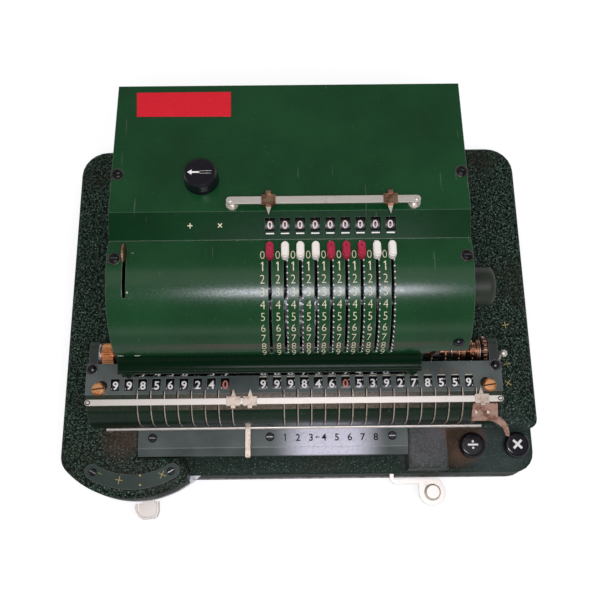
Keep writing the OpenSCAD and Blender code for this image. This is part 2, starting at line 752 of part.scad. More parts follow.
// One setting lever: hub, arm and knob in the slot's plane, and a toothed arc beside them
module setting_lever(k) {
    x = column_x(k);
    last = mesh_angle + lever_travel + 3;
    first = mesh_angle - 3;
    color([0.9, 0.88, 0.84]) difference() {
        union() {
            rod_x(x - lever_t / 2, rack_x + 1.5 * lever_t, 0, axis_z, 5);
            translate([x, 0, axis_z]) rotate([90 - home_angle, 0, 0]) {
                translate([-lever_t / 2, -2, 0]) cube([lever_t, 4, drum_r + 1]);
                translate([0, 0, drum_r + gap]) lever_knob();
            }
            translate([0, 0, axis_z]) along_x(x + rack_x, lever_t) mirror([1, 0]) polygon(concat(
                [[0, 0]],
                arc([0, 0], rack_pitch_r - small_module, first, first + 0.1, 1),
                tooth_points(sector_turn, rack_pitch_r, small_module, mesh_angle, teeth_per_travel + 1),
                arc([0, 0], rack_pitch_r - small_module, last, last + 0.1, 1)));
        }
        rod_x(x - 5, 15, 0, axis_z, lever_shaft_r + running);
        translate([x + rack_x - 1, 0, axis_z]) rotate([90 - mesh_angle - lever_travel / 2, 0, 0])
            translate([0, 0, 19]) rotate([0, 90, 0]) cylinder(r = 9, h = lever_t + 2);
    }
}

// Finger piece of a setting lever: a stadium 4.6 wide and 10.5 long with a stepped top
module lever_knob() {
    for (s = [[2.3, 0, 3.8], [1.8, 3.8, 1.2]]) {
        for (dy = [-1, 1]) translate([0, dy * 2.95, s[1]]) cylinder(r = s[0], h = s[2]);
        translate([-s[0], -2.95, s[1]]) cube([2 * s[0], 5.9, s[2]]);
    }
}

module check_drum(k) {
    x = column_x(k);
    color(black) difference() {
        union() {
            rod_x(x - 3, 5.7, check_y, check_z, check_r);
            rod_x(x + 2, rack_x - 1.8, check_y, check_z, 5);
            gear_x(x + rack_x - 0.1, lever_t + 0.2, check_y, check_z, pinion_teeth, small_module,
                mesh_angle + 180 + 180 / pinion_teeth, check_shaft_r);
        }
        rod_x(x - 5, 15, check_y, check_z, check_shaft_r + running);
    }
}

module end_plate(x0) {
    along_x(x0, end_t) polygon(concat(
        arc([-30, plate_z - carriage_sheet - 6.05], 6, 0, 90, 4),
        [[roll_y, plate_z - carriage_sheet - 0.05]],
        arc([roll_y, roll_z], roll_r - carriage_sheet - 0.05, 90, 180, 6),
        [[-76.8, deck_z + 4.2], [-24, deck_z + 4.7]]));
}

module carriage_frame() {
    color(deck_green) difference() {
        union() {
            end_plate(carriage_x0 + 1);
            end_plate(carriage_x1 - 1 - end_t);
            translate([carriage_x0 + 2, -76.8, deck_z + 5]) cube([carriage_w - 4, 4.8, 7]);
            translate([carriage_x0 + 2, -31, deck_z + 4.7]) cube([carriage_w - 4, 4, 7]);
            rod_x(carriage_x0 + 2, carriage_w - 4, wheel_y, wheel_z, 2.5);
        }
        rod_x(carriage_x0 - 5, carriage_w + 10, clearing_y, clearing_z, clearing_r + running);
        rod_x(carriage_x1 - 4, 10, release_place[0], release_place[1], 2 + running);
    }
}

function result_at(i) = result_x - i * register_pitch;
function counter_at(i) = counter_x + i * register_pitch;

module carriage_plate() {
    front = roll_y;
    color(plate_grey) translate([0, 0, plate_z - carriage_sheet]) linear_extrude(carriage_sheet)
        difference() {
            polygon([
                [carriage_x0, front], [carriage_x1, front], [carriage_x1, -41.5],
                [carriage_x1 - 52.5, -41.5], [carriage_x1 - 56, -49.8], [carriage_x0 + 23.9, -49.8],
                [carriage_x0 + 20, -41], [carriage_x0, -41]]);
            for (i = [0:result_places - 1])
                translate([result_at(i) - 2.9, wheel_y - 4]) square([5.8, 8]);
            for (i = [0:counter_places - 1])
                translate([counter_at(i) - 2.9, wheel_y - 4]) square([5.8, 8]);
        }
}

// Rolled front of the carriage: a quarter tube and a short upright skirt
module carriage_roll() {
    x0 = carriage_x0 + 1;
    color(enamel_green) {
        tube_sector(x0, carriage_w - 2, roll_y, roll_z, roll_r - carriage_sheet, roll_r, 0, 90);
        translate([x0, roll_y - roll_r, skirt_z])
            cube([carriage_w - 2, carriage_sheet, roll_z - skirt_z]);
        translate([x0 + end_t + gap, roll_y - roll_r, skirt_z])
            cube([carriage_w - 2 - 2 * (end_t + gap), 4, carriage_sheet]);
    }
}

module decimal_bar() {
    color(nickel) {
        rail_bar(carriage_x0 + 1, carriage_x1 - 1, bar_y, bar_z, bar_w, bar_t);
        for (x = [carriage_x0 + 3.5, parting_x, carriage_x1 - 3.5]) {
            top = roll_z + sqrt(pow(roll_r, 2) - pow(bar_y - roll_y, 2));
            translate([x, bar_y, top + 0.4]) cylinder(r = 0.8, h = bar_z - top);
        }
        translate([parting_x, bar_y, bar_z + bar_t]) cylinder(r = 0.8, h = 0.5);
    }
}

module decimal_marker(x) {
    color(nickel) bar_marker(x, bar_y, bar_z, 9, bar_w, bar_t, 8.6);
}

module decimal_marker_1() { decimal_marker(parting_x - 5.4); }
module decimal_marker_2() { decimal_marker(parting_x + 5.4); }
module decimal_marker_3() { decimal_marker(carriage_x1 - 15); }

// Riveted bracket with a curved horn at the right end of the carriage
module carriage_handle() {
    color([0.7, 0.52, 0.45]) translate([carriage_x1 - 132.5, roll_y, roll_z]) rotate([45, 0, 0])
        translate([0, 0, roll_r + 0.1]) {
            linear_extrude(1.4) polygon(concat(
                [[112, 6.5], [112, -7]],
                [[123.5, -7]],
                arc([120, -23], 16.5, 68, 12, 6),
                arc([120, -20], 18.6, 0, 60, 7),
                [[128, 6.5]]));
            for (x = [114.6, 122.4]) translate([x, 0, 1.4]) cylinder(r = 1.4, h = 0.7);
        }
}

// Small lever with a ball at the right end of the carriage
module release_lever() {
    x = carriage_x1 + 0.2;
    color(nickel) {
        along_x(x, 1.4) union() {
            translate(release_place) circle(r = 4);
            translate(release_place) polygon([[-3, 0], [3, 0], [5, 19], [2, 19]]);
        }
        rod_x(x - 3, 4, release_place[0], release_place[1], 2);
        translate([x + 2.4, release_place[0] + 3.6, release_place[1] + 20]) sphere(r = 2.5);
    }
}

module number_wheel(x) {
    difference() {
        union() {
            rod_x(x - wheel_w / 2, wheel_w, wheel_y, wheel_z, wheel_r);
            rod_x(x + wheel_w / 2, 1.6, wheel_y, wheel_z, wheel_r - 3);
        }
        rod_x(x - 8, 16, wheel_y, wheel_z, 2.5 + running);
    }
}

module result_wheels() {
    color(black) for (i = [0:result_places - 1]) number_wheel(result_at(i));
}

module counter_wheels() {
    color(black) for (i = [0:counter_places - 1]) number_wheel(counter_at(i));
}

// Long shaft behind the wheels, with a drum at its left end and a flared hub at its right
module clearing_shaft() {
    color(copper) {
        rod_x(carriage_x0 + 0.5, carriage_w - 1, clearing_y, clearing_z, clearing_r);
        rod_x(carriage_x0 + 8, 9, clearing_y, clearing_z, 7);
        translate([carriage_x1 - 30.5, clearing_y, clearing_z]) rotate([0, 90, 0])
            cylinder(r1 = 3.5, r2 = 6.5, h = 8);
        rod_x(carriage_x1 - 19.5, 7, clearing_y, clearing_z, 6.5);
        for (i = [0:result_places - 1]) rod_x(result_at(i) + 3.6, 1.2, clearing_y, clearing_z, 6.6);
        rod_x(carriage_x1 - 15.1, 1.6, clearing_y, clearing_z, 8);
        gear_x(carriage_x1 - 11.3, 3, clearing_y, clearing_z, 18, 1, 0, 2);
    }
}

// Broad slotted screws of the number plate
module carriage_screws() {
    color(brass) for (x = [carriage_x0 + 8.8, carriage_x1 - 8.8]) translate([x, -57.9, plate_z])
        rotate([0, 0, 8]) screw_head(4.4, 2.2);
    color(black) for (x = [carriage_x0 + 3.5, carriage_x1 - 3.5]) translate([x, -44.4, plate_z]) screw_head(3, 1.8);
}

// Bent finger that reaches from the carriage over the scale
module position_finger() {
    x = parting_x;
    color(nickel) {
        translate([x, -98.4, deck_z + 4]) cube([3.6, 22.4, 1]);
        translate([x + 0.6, -98.6, deck_z + 0.4]) cube([2.4, 1, 4.6]);
    }
}

base_casing();
bottom_plate();
rubber_feet();
top_cover();
case_screws();
side_frames();
hub_cover();
motor();
motor_pinion();
idler_gear();
cross_shafts();
carriage_rails();
scale_rail();
sector_plate();
lever_guide();
pointer_rail();
power_inlet();
detent_comb();
drive_shaft();
drive_wheels();
selector_knob();
left_marker();
right_marker();
clearing_lever();
function_lever();
shift_lever();
divide_key();
multiply_key();
for (k = [1:columns]) {
    setting_lever(k);
    check_drum(k);
}
carriage_frame();
carriage_plate();
carriage_roll();
decimal_bar();
decimal_marker_1();
decimal_marker_2();
decimal_marker_3();
carriage_handle();
release_lever();
result_wheels();
counter_wheels();
clearing_shaft();
carriage_screws();
position_finger();
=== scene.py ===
import math

import bmesh
import bpy
from bpy.props import FloatProperty, FloatVectorProperty, PointerProperty, StringProperty
from mathutils import Matrix, Vector


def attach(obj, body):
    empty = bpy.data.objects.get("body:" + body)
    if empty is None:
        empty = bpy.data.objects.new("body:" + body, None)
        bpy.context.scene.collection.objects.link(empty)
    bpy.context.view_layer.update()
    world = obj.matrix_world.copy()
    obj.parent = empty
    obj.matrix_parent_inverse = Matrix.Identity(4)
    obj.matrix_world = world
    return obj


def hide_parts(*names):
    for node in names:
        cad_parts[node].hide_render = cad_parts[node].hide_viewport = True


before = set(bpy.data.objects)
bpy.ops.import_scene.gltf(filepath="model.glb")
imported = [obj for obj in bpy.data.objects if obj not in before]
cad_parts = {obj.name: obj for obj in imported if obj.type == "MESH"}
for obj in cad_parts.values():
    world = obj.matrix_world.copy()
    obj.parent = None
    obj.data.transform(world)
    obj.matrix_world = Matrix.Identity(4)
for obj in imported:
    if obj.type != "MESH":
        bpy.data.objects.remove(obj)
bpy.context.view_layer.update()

bl_info = {
    "name": "Desk calculator",
    "version": (1, 0, 0),
    "blender": (4, 5, 0),
    "location": "3D View > Sidebar > Calculator",
    "description": "Finishes, numerals and small fittings of a nine-lever desk calculator",
    "category": "Add Mesh",
}

MM = 0.001

# The machine's own sizes, in millimetres and degrees, as its solids have them
COLUMNS = range(1, 10)
RED_COLUMNS = (3, 4, 5, 9)
PITCH = 9.0                      # from one lever, window or number wheel to the next
AXIS_Z = 125.6                   # the lever shaft, which is the middle of the slotted drum
DRUM_R = 45.3
HOME = 99.5                      # the angle of a lever at nought, up from the front
DIGIT_TURN = 9.49                # from one digit of a slot to the next
CREASE_FRONT = (17.0, 167.6)     # Y and Z of the crease before the windows
CREASE_REAR = (33.0, 173.4)      # of the crease behind them
REAR_TOP = (123.0, 166.6)        # and of the rear edge of the top panel
FACET = math.degrees(math.atan2(CREASE_REAR[1] - CREASE_FRONT[1], CREASE_REAR[0] - CREASE_FRONT[0]))
PANEL = math.degrees(math.atan2(REAR_TOP[1] - CREASE_REAR[1], REAR_TOP[0] - CREASE_REAR[0]))
CHECK_DRUM = (29.6, 159.09, 10.5)    # Y, Z and radius of the check drums
WHEEL = (-55.1, 79.7, 14.0)          # the same of the number wheels
ROLL = (-61.5, 78.0, 17.3)           # and of the ribbed roll
SHAFT = (-33.0, 88.0)                # Y and Z of the clearing shaft
PLATE_Z = 95.3                   # the top of the number plate
BAR_Y = -67.2                    # the middle of the decimal bar
BAR_TOP = 98.5
SHELF_Z = 34.0                   # the shelf of the base, before the carriage
DECK_Z = 54.0                    # the deck of the base
SECTOR_TOP = DECK_Z + 1          # the sector plate, which lies on the deck
SCALE_TOP = DECK_Z + 1.2         # and the scale
SECTOR = (-115.5, -60.0)         # X and Y about which the sector plate is drawn
SCALE_Y = -84.9                  # the middle of the scale's numerals
KEY_Y = -89.9                    # the middle of the two keys
KEY_TOP = 44.15
MARKER_TIP_Y = 33.6              # where the bright tips of the upper markers begin
RESULT_X = 110.7                 # the last wheel of the result
COUNTER_X = -121.2               # the first wheel of the counter
RESULT = "9998460539278559"      # what the two registers show at rest
COUNTER = "998569240"
PLACES = len(RESULT)
WHEEL_STEP = 36                  # from one digit of a wheel to the next
FRONT_Y = -20                    # before this, the cover and the roll are front, and behind it wall


def column_x(k):
    """Middle of a lever's slot."""
    return 54.7 - (k - 1) * PITCH


def panel_z(y):
    """Height of the top panel."""
    return CREASE_REAR[1] + (y - CREASE_REAR[0]) * math.tan(math.radians(PANEL))


def facet_z(y):
    """Height of the sloping facet with the windows."""
    return CREASE_FRONT[1] + (y - CREASE_FRONT[0]) * math.tan(math.radians(FACET))


# Shapes

class Spot:
    """A place on a surface: its point, its right, up and outward directions, and the radius it curves to."""

    def __init__(self, at, up=(0, 1, 0), out=(0, 0, 1), bend=None, turn=0.0):
        self.at = Vector(at)
        self.out = Vector(out).normalized()
        self.up = Vector(up).normalized()
        self.right = self.up.cross(self.out)
        self.bend = bend
        if turn:
            spin = Matrix.Rotation(math.radians(turn), 3, self.out)
            self.up = spin @ self.up
            self.right = spin @ self.right

    def __call__(self, u, v, w=0.0):
        """The point that lies u to the right, v up along the surface and w outward."""
        if self.bend:
            a = v / self.bend
            r = self.bend + w
            rise = r * math.cos(a) - self.bend
            return self.at + self.right * u + self.up * r * math.sin(a) + self.out * rise
        return self.at + self.right * u + self.up * v + self.out * w

    def flat(self):
        """The same place without the curve, for a small part that stands on it."""
        return Spot(self.at, self.up, self.out)


def on_round(x, y, z, r, angle):
    """A spot on a drum along X, at an angle measured up from the front."""
    a = math.radians(angle)
    out = Vector((0, -math.cos(a), math.sin(a)))
    return Spot(Vector((x, y, z)) + out * r, (0, math.sin(a), math.cos(a)), out, r)


def on_drum(x, angle):
    """A spot on the slotted drum."""
    return on_round(x, 0, AXIS_Z, DRUM_R, angle)


def on_slope(x, y, z, slope, turn=0.0):
    """A spot on a surface that rises to the rear."""
    a = math.radians(slope)
    return Spot((x, y, z), (0, math.cos(a), math.sin(a)), (0, -math.sin(a), math.cos(a)), turn=turn)


def on_panel(x, y, turn=0.0):
    """A spot on the top panel."""
    return on_slope(x, y, panel_z(y), PANEL, turn)


def on_facet(x, y):
    """A spot on the facet with the windows."""
    return on_slope(x, y, facet_z(y), FACET)


def level(x, y, z, turn=0.0):
    """A spot on a level surface."""
    return Spot((x, y, z), turn=turn)


def from_left(x):
    """A spot across the clearing shaft, facing along it."""
    return Spot((x, *SHAFT), (0, 0, 1), (1, 0, 0))


def ring_points(r, steps):
    """Points round a circle."""
    return [(r * math.cos(math.tau * i / steps), r * math.sin(math.tau * i / steps)) for i in range(steps)]


def slab_faces(n):
    """Faces of a solid between two outlines of n points: its ends and its sides."""
    sides = [[i, (i + 1) % n, n + (i + 1) % n, n + i] for i in range(n)]
    return [list(range(n))[::-1], list(range(n, 2 * n))] + sides


class Shape:
    """Points in millimetres and faces, gathered into one piece."""

    def __init__(self):
        self.points = []
        self.faces = []

    def add(self, points, faces):
        """Takes in more points, and faces that number them from 0."""
        base = len(self.points)
        self.points += [tuple(p) for p in points]
        self.faces += [[base + i for i in f] for f in faces]

    def prism(self, outline, low, high, spot, shrink=1.0):
        """An outline drawn out from one height to another, its top shrunk for a bevelled edge."""
        points = [spot(u, v, low) for u, v in outline]
        points += [spot(u * shrink, v * shrink, high) for u, v in outline]
        self.add(points, slab_faces(len(outline)))

    def block(self, w, d, low, high, spot, shrink=1.0):
        """A rectangle drawn out in the same way."""
        corners = [(-w / 2, -d / 2), (w / 2, -d / 2), (w / 2, d / 2), (-w / 2, d / 2)]
        self.prism(corners, low, high, spot, shrink)

    def lathe(self, profile, spot, steps=28):
        """A closed or pole-ended profile of (radius, height) pairs, turned about the spot's outward line."""
        closed = profile[0][0] > 0 and profile[-1][0] > 0
        points, rings = [], []
        for r, h in profile:
            if r <= 0:
                rings.append([len(points)])
                points.append(spot(0, 0, h))
            else:
                rings.append(list(range(len(points), len(points) + steps)))
                points += [spot(u, v, h) for u, v in ring_points(r, steps)]
        pairs = list(zip(rings, rings[1:])) + ([(rings[-1], rings[0])] if closed else [])
        faces = []
        for a, b in pairs:
            for i in range(steps):
                j = (i + 1) % steps
                if len(a) == 1:
                    faces.append([a[0], b[j], b[i]][::-1])
                elif len(b) == 1:
                    faces.append([a[i], a[j], b[0]])
                else:
                    faces.append([a[i], a[j], b[j], b[i]])
        self.add(points, faces)

    def wire(self, path, r, steps, flat):
        """A flattened wire along a path of points."""
        path = [Vector(p) for p in path]
        last = len(path) - 1
        side = Vector((1, 0, 0))
        points = []
        for i, p in enumerate(path):
            along = (path[min(i + 1, last)] - path[max(i - 1, 0)]).normalized()
            # A wire that runs along the side needs another one
            if abs(side.dot(along)) > 0.95:
                side = Vector((0, 1, 0))
            u = (side - along * side.dot(along)).normalized()
            v = along.cross(u)
            points += [p + u * c * r + v * s * r * flat for c, s in ring_points(1, steps)]
        faces = []
        for k in range(0, last * steps, steps):
            for i in range(steps):
                j = (i + 1) % steps
                faces.append([k + i, k + j, k + steps + j, k + steps + i])
        ends = [list(range(steps))[::-1], [last * steps + i for i in range(steps)]]
        self.add(points, faces + ends)

    def stamp(self, char, height, spot, thick=0.08, sunk=0.06, weight=0.0, wide=1.0):
        """A printed or filled character lying on a spot."""
        points, faces = glyph(char, weight)
        across, deep = height * wide, thick + sunk
        self.add([spot(x * across, y * height, z * deep - sunk) for x, y, z in points], faces)


GLYPHS = {}
# The height of the built-in font's figures and their middle, as parts of its size
FIGURE_HEIGHT = 0.74
FIGURE_MIDDLE = 0.365
# A character is cut into strips of this part of its height, so that it bends round a drum
STRIP = 0.11
# The built-in font's 1 is a plain bar, so this one is drawn with its flag
ONE = [(-0.02, -0.5), (0.11, -0.5), (0.11, 0.5), (0.0, 0.5), (-0.2, 0.33), (-0.15, 0.24), (-0.02, 0.32)]


def glyph(char, weight):
    """One character as a flat solid of height 1 about its own middle, its thickness running from 0 to 1."""
    key = (char, weight)
    if char == "1":
        GLYPHS[key] = ([(x, y, z) for z in (0.0, 1.0) for x, y in ONE], slab_faces(len(ONE)))
    if key not in GLYPHS:
        curve = bpy.data.curves.new("glyph", "FONT")
        curve.body = char
        curve.size = 1.0
        curve.extrude = 0.5
        curve.offset = weight
        curve.resolution_u = 3
        holder = bpy.data.objects.new("glyph", curve)
        bpy.context.scene.collection.objects.link(holder)
        mesh = bpy.data.meshes.new_from_object(holder.evaluated_get(bpy.context.evaluated_depsgraph_get()))
        bm = bmesh.new()
        bm.from_mesh(mesh)
        bmesh.ops.remove_doubles(bm, verts=bm.verts, dist=1e-5)
        xs = [v.co.x for v in bm.verts]
        ys = [v.co.y for v in bm.verts]
        tall, middle = 1.0, (min(ys) + max(ys)) / 2
        if char.isdigit():
            tall, middle = FIGURE_HEIGHT, FIGURE_MIDDLE
        shift = Vector(((min(xs) + max(xs)) / 2, middle, 0))
        for v in bm.verts:
            v.co = (v.co - shift) / tall
            v.co.z = 0.0 if v.co.z < 0 else 1.0
        for i in range(-4, 5):
            everything = bm.verts[:] + bm.edges[:] + bm.faces[:]
            bmesh.ops.bisect_plane(bm, geom=everything, dist=1e-6, plane_co=(0, i * STRIP, 0),
                                   plane_no=(0, 1, 0))
        bm.verts.index_update()
        GLYPHS[key] = ([tuple(v.co) for v in bm.verts], [[v.index for v in f.verts] for f in bm.faces])
        bm.free()
        bpy.data.objects.remove(holder)
        bpy.data.curves.remove(curve)
        bpy.data.meshes.remove(mesh)
    return GLYPHS[key]


def shown(name, mesh, smooth=None):
    """An object of a mesh in the scene; smooth is the angle up to which its edges are shaded round."""
    if smooth:
        mesh.shade_smooth()
        mesh.set_sharp_from_angle(angle=math.radians(smooth))
    obj = bpy.data.objects.new(name, mesh)
    bpy.context.scene.collection.objects.link(obj)
    return obj


def piece(name, shape, material, body, smooth=None):
    """Makes a piece of the gathered shape in a finish, riding on a body."""
    mesh = bpy.data.meshes.new(name)
    mesh.from_pydata([Vector(p) * MM for p in shape.points], [], shape.faces)
    bm = bmesh.new()
    bm.from_mesh(mesh)
    bmesh.ops.recalc_face_normals(bm, faces=bm.faces)
    bm.to_mesh(mesh)
    bm.free()
    mesh.materials.append(finish(material))
    obj = shown(name, mesh, smooth)
    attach(obj, body)


def refilled(node, height):
    """A copy of a node's mesh whose level face at this height is filled anew, since its triangles fold over
    each other there."""
    bm = bmesh.new()
    bm.from_mesh(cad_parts[node].data)
    bmesh.ops.remove_doubles(bm, verts=bm.verts, dist=1e-7)
    folded = [f for f in bm.faces if all(abs(v.co.z - height * MM) < 1e-6 for v in f.verts)]
    bmesh.ops.delete(bm, geom=folded, context="FACES")
    rim = [e for e in bm.edges if len(e.link_faces) == 1]
    bmesh.ops.triangle_fill(bm, use_beauty=True, edges=rim, normal=(0, 0, 1))
    if any(len(e.link_faces) != 2 for e in bm.edges):
        raise RuntimeError("the filled face of %s is not closed" % node)
    bmesh.ops.recalc_face_normals(bm, faces=bm.faces)
    mesh = bpy.data.meshes.new(node + "_skin")
    bm.to_mesh(mesh)
    bm.free()
    return shown(node + "_skin", mesh, 25)


# Materials

def linear(code):
    """An sRGB hex colour, or the colour property of that name, as linear RGBA."""
    if not code.startswith("#"):
        code = getattr(bpy.context.scene.calculator_colours, code)
    channels = [int(code[i:i + 2], 16) / 255 for i in (1, 3, 5)]
    return [c / 12.92 if c <= 0.04045 else ((c + 0.055) / 1.055) ** 2.4 for c in channels] + [1.0]


def per_metre(size_mm):
    """Texture scale for a pattern whose cells are this many millimetres."""
    return 1 / (size_mm * MM)


def add(tree, kind, settings=None, links=None):
    """Adds a node, sets its properties or sockets by name, colours by their code, and links other nodes or
    sockets to it."""
    node = tree.nodes.new("ShaderNode" + kind)
    for key, value in (settings or {}).items():
        if isinstance(key, str) and hasattr(node, key):
            setattr(node, key, value)
        else:
            node.inputs[key].default_value = linear(value) if isinstance(value, str) else value
    for key, source in (links or {}).items():
        tree.links.new(source.outputs[0] if hasattr(source, "outputs") else source, node.inputs[key])
    return node


MATERIALS = {}
PAINTED_SHADE_BLACK = "#04150a"


def start(name):
    """Begins a named material: its empty node tree and its object coordinates."""
    material = bpy.data.materials.new(name)
    material.use_nodes = True
    tree = material.node_tree
    tree.nodes.clear()
    MATERIALS[name] = material
    return tree, add(tree, "TexCoord").outputs["Object"]


def close(tree, settings, links):
    """The surface shader and the output that end a material."""
    shader = add(tree, "BsdfPrincipled", settings, links)
    add(tree, "OutputMaterial", links={"Surface": shader})


def worn_edge(tree, width, strength):
    """A mask that is strong along the edges of a piece, where they are painted paler as wear and as painted
    edge highlight, and the rounded normal.
    """
    rounded = add(tree, "Bevel", {"samples": 4, "Radius": width * MM})
    flat = add(tree, "NewGeometry").outputs["Normal"]
    same = add(tree, "VectorMath", {"operation": "DOT_PRODUCT"}, {0: rounded, 1: flat})
    turned = add(tree, "MapRange", {"From Min": 0.99, "From Max": 0.86, "To Max": strength},
                 {"Value": same.outputs["Value"]})
    return turned, rounded


def wrinkle_enamel(name, dark, light, dirt, contrast, depth, spots):
    """Wrinkle enamel baked on cast iron: small hard ridges over a near-black green, their crests and glints
    painted as pale specks of highlight. It is toned in round spots, the pale ones a painted reflection and
    the brown ones
    grease: X, Y, Z, radius, colour, strength."""
    tree, where = start(name)
    # The ridges are about 0.8 mm apart; they are drawn at 1.5 mm, so that they show at this distance
    ridges = add(tree, "TexNoise",
                 {"Scale": per_metre(1.5), "Detail": 1.5, "Roughness": 0.6, "Distortion": 0.6},
                 {"Vector": where})
    # The crests of the ridges are painted paler as painted highlight, and pale glints are painted on them
    painted_crest_highlight = add(tree, "MapRange", {"From Min": 0.46, "From Max": 0.66, "To Max": contrast},
                {"Value": ridges})
    shade = add(tree, "MixRGB", {"Color1": dark, "Color2": light}, {"Fac": painted_crest_highlight})
    sparks = add(tree, "TexNoise", {"Scale": per_metre(1.1), "Detail": 0.5}, {"Vector": where})
    glint = add(tree, "MapRange", {"From Min": 0.65, "From Max": 0.74, "To Max": 0.6 * contrast},
                {"Value": sparks})
    sparked = add(tree, "MixRGB", {"Color2": "#9ba79f"}, {"Fac": glint, "Color1": shade})
    # Clouds of dirt, some 34 mm across
    cloud = add(tree, "TexNoise", {"Scale": per_metre(34.0), "Detail": 4.0}, {"Vector": where})
    patch = add(tree, "MapRange", {"From Min": 0.52, "From Max": 0.78, "To Max": 0.6}, {"Value": cloud})
    dirt_and_sheen = add(tree, "MixRGB", {"Color2": dirt}, {"Fac": patch, "Color1": sparked})
    broken = add(tree, "MapRange", {"From Min": 0.3, "From Max": 0.55, "To Min": 0.25}, {"Value": cloud})
    # The pale spots are a painted reflection; the brown ones are grease
    for x, y, z, radius, colour, strength in spots:
        away = add(tree, "VectorMath", {"operation": "DISTANCE", 1: (x * MM, y * MM, z * MM)}, {0: where})
        near = add(tree, "MapRange",
                   {"From Min": radius * MM, "From Max": 0.45 * radius * MM, "To Max": strength},
                   {"Value": away.outputs["Value"]})
        toned = add(tree, "Math", {"operation": "MULTIPLY"}, {0: near, 1: broken})
        dirt_and_sheen = add(tree, "MixRGB", {"Color2": colour}, {"Fac": toned, "Color1": dirt_and_sheen})
    edge_paling, rounded = worn_edge(tree, 0.9, 0.3)
    # Paler along the edges, as wear and as painted edge highlight
    rubbed = add(tree, "MixRGB", {"Color2": "#6d766f"}, {"Fac": edge_paling, "Color1": dirt_and_sheen})
    bump = add(tree, "Bump", {"Strength": depth, "Distance": 0.5 * MM},
               {"Height": ridges, "Normal": rounded})
    close(tree, {"Roughness": 0.45, "Specular IOR Level": 0.12}, {"Base Color": rubbed, "Normal": bump})


